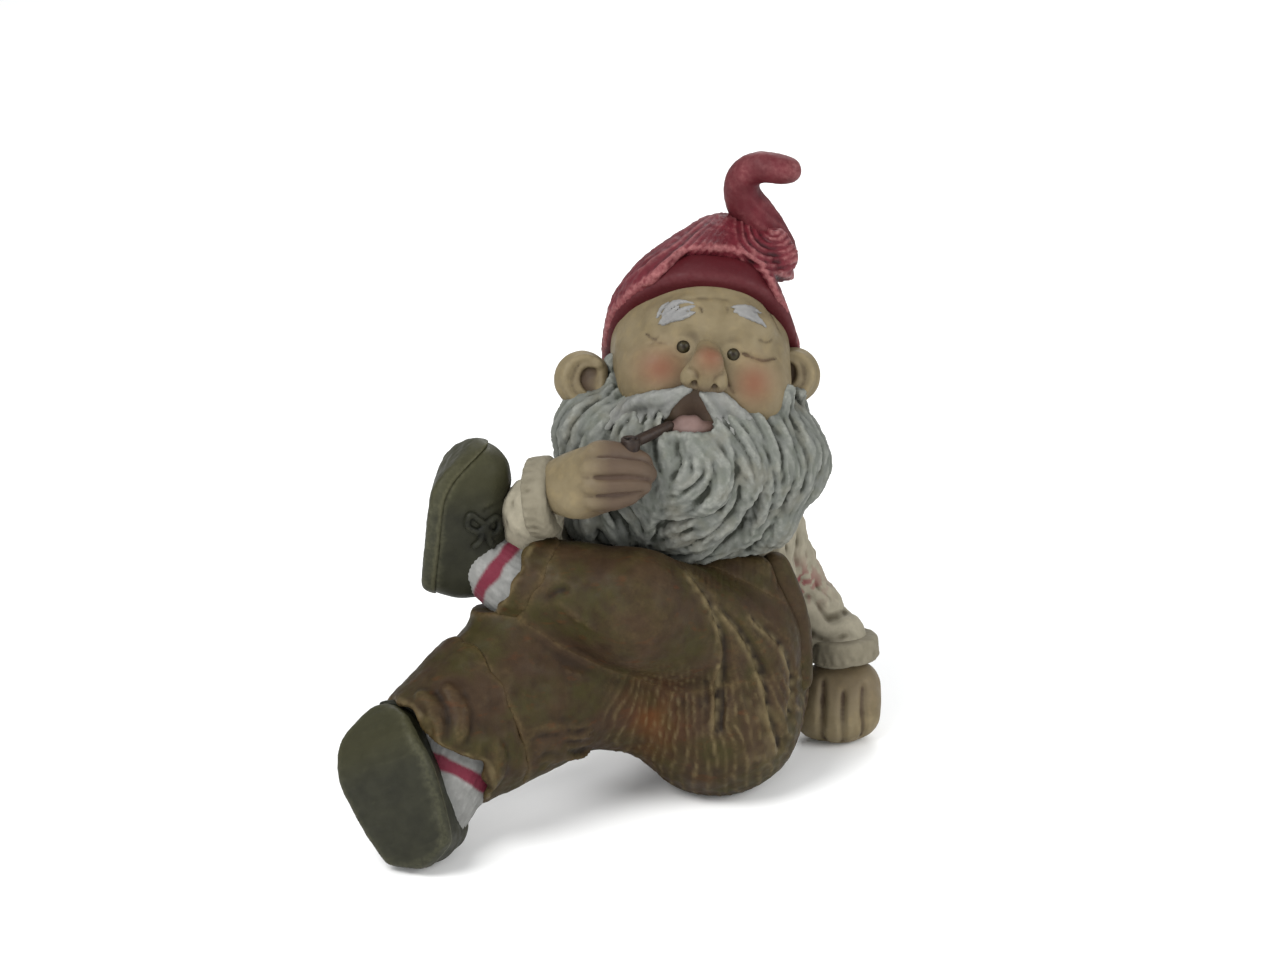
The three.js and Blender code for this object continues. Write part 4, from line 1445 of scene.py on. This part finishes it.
def shoe_clay(shoe, toe):
    """A whole shoe, and how far each grid point lies past its tread."""
    corners = ((6.5, -12.2, 1.5), (8.3, -4.0, 1.5), (9.1, 4.5, 1.5), (6.9, 11.9, 1.8))
    edge = [(side * wide, -ear_hollow_shade, up, 1.5) for side in (-1, 1) for wide, up, ear_hollow_shade in corners]
    edge += [(0, -1.5, -14.9, 1.5), (0, -2.6, 15.1, 1.5)]
    last = shoe.balls(edge + [(0, -8.2, 8.9, toe - 0.2), (0, -7.6, -10.1, 7.2)])
    instep = shoe.balls([(0, -9.0, 0, 7.2), (0, -12.6, -10.4, 6.2)])
    clay = Clay.around(last + instep, FINE, 2)
    clay.hull(last)
    clay.limb(instep, 1.5)
    clay.ground()
    s, f, u = clay.local(shoe)
    return clay, past_tread(f, u)


def sculpt_shoe(name, shoe, toe):
    whole, tread = shoe_clay(shoe, toe)
    upper = whole.copy()
    upper.d = whole.d + 0.5
    upper.trim(tread + SOLE_THICKNESS, 0.5)
    # The edge of the toe cap.
    edge = [shoe.at(s, -9 - 8 * (1 - abs(s) / 14), 6.5 - 0.03 * s * s) for s in (-9, -5, 0, 5, 9)]
    upper.line(edge, 0.9, -0.3)

    def toe_cap(points):
        s, f, u = shoe.local(points)
        return np.clip((u - 3) / 7, 0, 1) * 0.8

    show(name + "_upper", upper, LEATHER, uneven(0.14, 2.6, 34), toe_cap)

    sole = whole.copy()
    sole.trim(-tread - SOLE_THICKNESS - 0.3, 0.5)
    sole.trim(tread, 1.0)

    def wear(points, normals):
        s, f, u = shoe.local(points)
        under = np.clip((past_tread(f, u) + 0.8) / 0.6, 0, 1)
        ribs = under * np.clip(np.cos(u * 2 * math.pi / 2.2) * 1.5, 0, 1)
        across = streaks(points, np.tile(shoe.r, (len(points), 1)), 0.8, 5.0, 35)
        return -0.05 * ribs + 0.08 * under * across + 0.08 * lattice_noise(points, 2.0, 35)

    # A painted highlight along the edge where the sole meets the upper.
    def welt_highlight(points):
        s, f, u = shoe.local(points)
        return 0.6 * band(past_tread(f, u), 0.1 - SOLE_THICKNESS, 0.3)

    show(name + "_sole", sole, LEATHER, wear, toe_cap, welt_highlight)
    return upper


LEFT_LACES = [
    [(-31.5, -8.5), (-34.0, -6.8), (-34.6, -9.0), (-32.5, -10.2), (-31.2, -9.0)],
    [(-31.2, -9.0), (-29.0, -7.4), (-28.4, -9.4), (-29.8, -10.6), (-31.2, -9.2)],
    [(-31.3, -9.2), (-32.0, -12.0), (-33.2, -13.2)],
    [(-31.0, -9.4), (-30.2, -12.0), (-29.6, -13.0)],
]
RIGHT_LACES = [
    [(-47.0, -43.0), (-50.0, -41.6), (-52.0, -43.4), (-50.0, -44.6), (-47.4, -43.6)],
    [(-47.0, -43.0), (-44.4, -44.4), (-44.0, -46.4), (-46.0, -46.0), (-47.2, -43.8)],
]


def sculpt_laces(name, clay, loops):
    """Laces laid over the shoe that the clay is of."""
    paths = [sketch(clay, loop) for loop in loops]
    laces = Clay.around([(*p, 2.0) for path in paths for p in path], 0.3, 1)
    for path in paths:
        path = clay.snap(dense(path, 0.7), 0.35)
        laces.limb(np.hstack([path, np.full((len(path), 1), 0.7)]), 0.2)
    show(name, laces, LACE)


def sculpt_sock(name, shoe, hem, ankle, calf, stripe_at):
    balls = shoe.balls([(0, -11, -7.5, ankle)]) + hem.balls([(0, -3, 0, calf)])
    clay = Clay.around(balls, FINE, 2)
    clay.limb(balls, 1)
    a, b = np.array(balls[0][:3]), np.array(balls[1][:3])
    axis = unit(b - a)
    side = unit(np.cross(axis, (0, 0, 1)))
    other = np.cross(axis, side)

    def ribs(points, normals):
        away = points - a
        angle = np.arctan2(away @ side, away @ other)
        rough = 0.12 * lattice_noise(points, 2.0, 36) + 0.1 * lattice_noise(points, 0.8, 45)
        return 0.07 * np.cos(angle * 40) + rough

    def stripe(points):
        along = (points - a) @ axis + 0.5 * lattice_noise(points, 3.0, 37)
        return band(along, np.linalg.norm(b - a) * stripe_at, 1.35, 0.5)

    clay.ground()
    show(name, clay, SOCK, ribs, stripe)


# ---- Building the figurine -------------------------------------------------------------------------------
RIGHT_BROW = [
    [(3.7, 31.2), (5.4, 32.9), (7.8, 34.8)],
    [(4.4, 31.0), (6.8, 32.4), (10.2, 33.6)],
    [(3.4, 32.4), (4.4, 34.3), (5.8, 35.5)],
    [(4.4, 32.9), (6.3, 34.8), (9.2, 35.8)],
    [(5.8, 32.4), (8.7, 34.1), (11.6, 34.8)],
    [(5.8, 31.7), (8.7, 32.6), (11.1, 33.6)],
    [(5.0, 34.4), (7.4, 35.6), (10.8, 35.4)],
]
LEFT_BROW = [
    [(18.3, 34.6), (20.7, 34.6), (23.1, 34.4)],
    [(18.8, 33.6), (21.2, 33.6), (23.6, 32.9)],
    [(19.8, 33.1), (22.2, 32.4), (24.3, 31.2)],
    [(20.7, 33.8), (23.1, 32.6), (25.3, 30.5)],
    [(19.0, 34.0), (21.6, 34.2), (24.2, 33.4)],
]
RIGHT_MOUSTACHE = [
    [(10.0, 18.6), (7.6, 17.2), (5.6, 14.8), (4.6, 12.4)],
    [(8.8, 18.2), (5.6, 16.6), (2.9, 14.4), (2.0, 11.4)],
    [(7.4, 17.6), (3.4, 16.0), (0.6, 13.4), (-0.4, 10.6)],
    [(6.0, 17.4), (1.6, 16.2), (-1.4, 13.8), (-2.6, 10.2)],
    [(4.0, 17.0), (-0.4, 15.8), (-3.4, 13.2), (-4.6, 9.4)],
    [(1.6, 16.6), (-2.4, 15.4), (-5.0, 13.0), (-6.8, 10.0)],
]
LEFT_MOUSTACHE = [
    [(12.4, 17.4), (13.8, 15.6), (15.2, 12.8), (16.4, 10.0)],
    [(13.6, 17.8), (15.6, 15.6), (17.4, 12.4), (18.6, 9.0)],
    [(15.0, 17.8), (17.6, 15.0), (19.8, 11.4), (20.6, 7.6)],
    [(16.6, 17.0), (19.6, 13.6), (22.2, 10.0), (23.2, 6.4)],
    [(18.4, 15.2), (21.6, 11.8), (24.4, 8.6), (25.6, 5.0)],
]


def build():
    face = face_clay()
    head = sculpt_head()
    sculpt_nose()
    for name, (side, out, up) in EARS.items():
        sculpt_ear(name, side, out, up)
    for name, (sideways, up) in EYES.items():
        sculpt_eye(name, sideways, up)
    sculpt_lower_lip(face)
    sculpt_brow("right_eyebrow", head, RIGHT_BROW, 0.95)
    sculpt_brow("left_eyebrow", head, LEFT_BROW, 0.95)
    sculpt_moustache("right_moustache", face, RIGHT_MOUSTACHE, 2.3)
    sculpt_moustache("left_moustache", face, LEFT_MOUSTACHE, 2.1)
    sculpt_beard(face)
    sculpt_back_hair()
    sculpt_hat_band()
    sculpt_hat_crown()
    sculpt_hat_tail()
    sculpt_right_hand()
    sculpt_left_hand()
    sculpt_pipe(face)
    sculpt_left_sleeve()
    sculpt_right_sleeve()
    sculpt_jumper()
    sculpt_cuff("left_cuff", Place((28.6, 24.5, 17.2), (0.06, -0.12, -1), (0, 1, 0)), 7.6, 22, 0.8, -1.6)
    sculpt_cuff("right_cuff", Place((-31.4, -10, 66.2), (0.97, -0.2, 0.14), (0, 0, 1)), 8.2, 24, -5.0, -2.4)
    sculpt_dungarees()
    sculpt_turn_up("left_turn_up", LEFT_LEG[1:], LEFT_HEM, 5, lambda s, u: 0.2, [])
    crumples = [
        [(-44.0, -43.0), (-41.5, -46.0), (-40.5, -50.5)],
        [(-38.5, -42.0), (-36.0, -46.5), (-36.5, -52.0)],
        [(-29.0, -53.0), (-28.6, -58.0), (-31.0, -62.4)],
    ]
    right_leg = RIGHT_LEG[1:] + [RIGHT_KNEE, (*RIGHT_HEM.at(0, 6, 2.5), 11.5)]
    sculpt_turn_up("right_turn_up", right_leg, RIGHT_HEM, 9, right_turn_up_end, crumples)
    sculpt_placket()
    sculpt_brace("right_brace", -1)
    sculpt_brace("left_brace", 1)
    left = sculpt_shoe("left_shoe", LEFT_SHOE, 8.0)
    right = sculpt_shoe("right_shoe", RIGHT_SHOE, 7.4)
    sculpt_laces("left_laces", left, LEFT_LACES)
    sculpt_laces("right_laces", right, RIGHT_LACES)
    sculpt_sock("left_sock", LEFT_SHOE, LEFT_HEM, 6.6, 8.0, 0.5)
    sculpt_sock("right_sock", RIGHT_SHOE, RIGHT_HEM, 7.4, 10.2, 0.5)


# ---- Floor, light and camera -----------------------------------------------------------------------------
def add_floor():
    mesh = bpy.data.meshes.new("floor")
    half = 3.0
    corners = [(-half, -half, 0), (half, -half, 0), (half, half, 0), (-half, half, 0)]
    mesh.from_pydata(corners, [], [(0, 1, 2, 3)])
    floor = bpy.data.objects.new("floor", mesh)
    bpy.context.scene.collection.objects.link(floor)
    material = bpy.data.materials.new("pale_floor")
    material.use_nodes = True
    shader = material.node_tree.nodes["Principled BSDF"]
    shader.inputs["Base Color"].default_value = (0.88, 0.88, 0.87, 1)
    shader.inputs["Roughness"].default_value = 0.85
    mesh.materials.append(material)


def add_light(name, place, size, power):
    data = bpy.data.lights.new(name, "AREA")
    data.shape = "DISK"
    data.size = size
    data.energy = power
    light = bpy.data.objects.new(name, data)
    light.location = place
    aim = Vector((-0.01, 0, 0.05)) - Vector(place)
    light.rotation_euler = aim.to_track_quat("-Z", "Y").to_euler()
    bpy.context.scene.collection.objects.link(light)


def add_studio():
    world = bpy.data.worlds.new("studio")
    bpy.context.scene.world = world
    world.use_nodes = True
    background = world.node_tree.nodes["Background"]
    background.inputs["Color"].default_value = (0.95, 0.97, 1.0, 1)
    background.inputs["Strength"].default_value = 0.55
    add_light("key", (-0.45, -0.45, 0.75), 0.5, 7.5)
    add_light("front", (-0.2, -0.7, 0.12), 0.5, 2.5)
    add_light("fill", (0.6, -0.3, 0.45), 0.6, 4.0)
    add_light("back", (0.1, 0.7, 0.6), 0.6, 4.0)
    bpy.context.scene.view_settings.view_transform = "Standard"


def add_camera():
    data = bpy.data.cameras.new("camera")
    data.lens = LENS
    data.sensor_width = 36
    camera = bpy.data.objects.new("camera", data)
    camera.location = EYE_POINT * MM
    camera.rotation_euler = Vector(LOOK).to_track_quat("-Z", "Y").to_euler()
    bpy.context.scene.collection.objects.link(camera)
    bpy.context.scene.camera = camera


build()
add_floor()
add_studio()
add_camera()
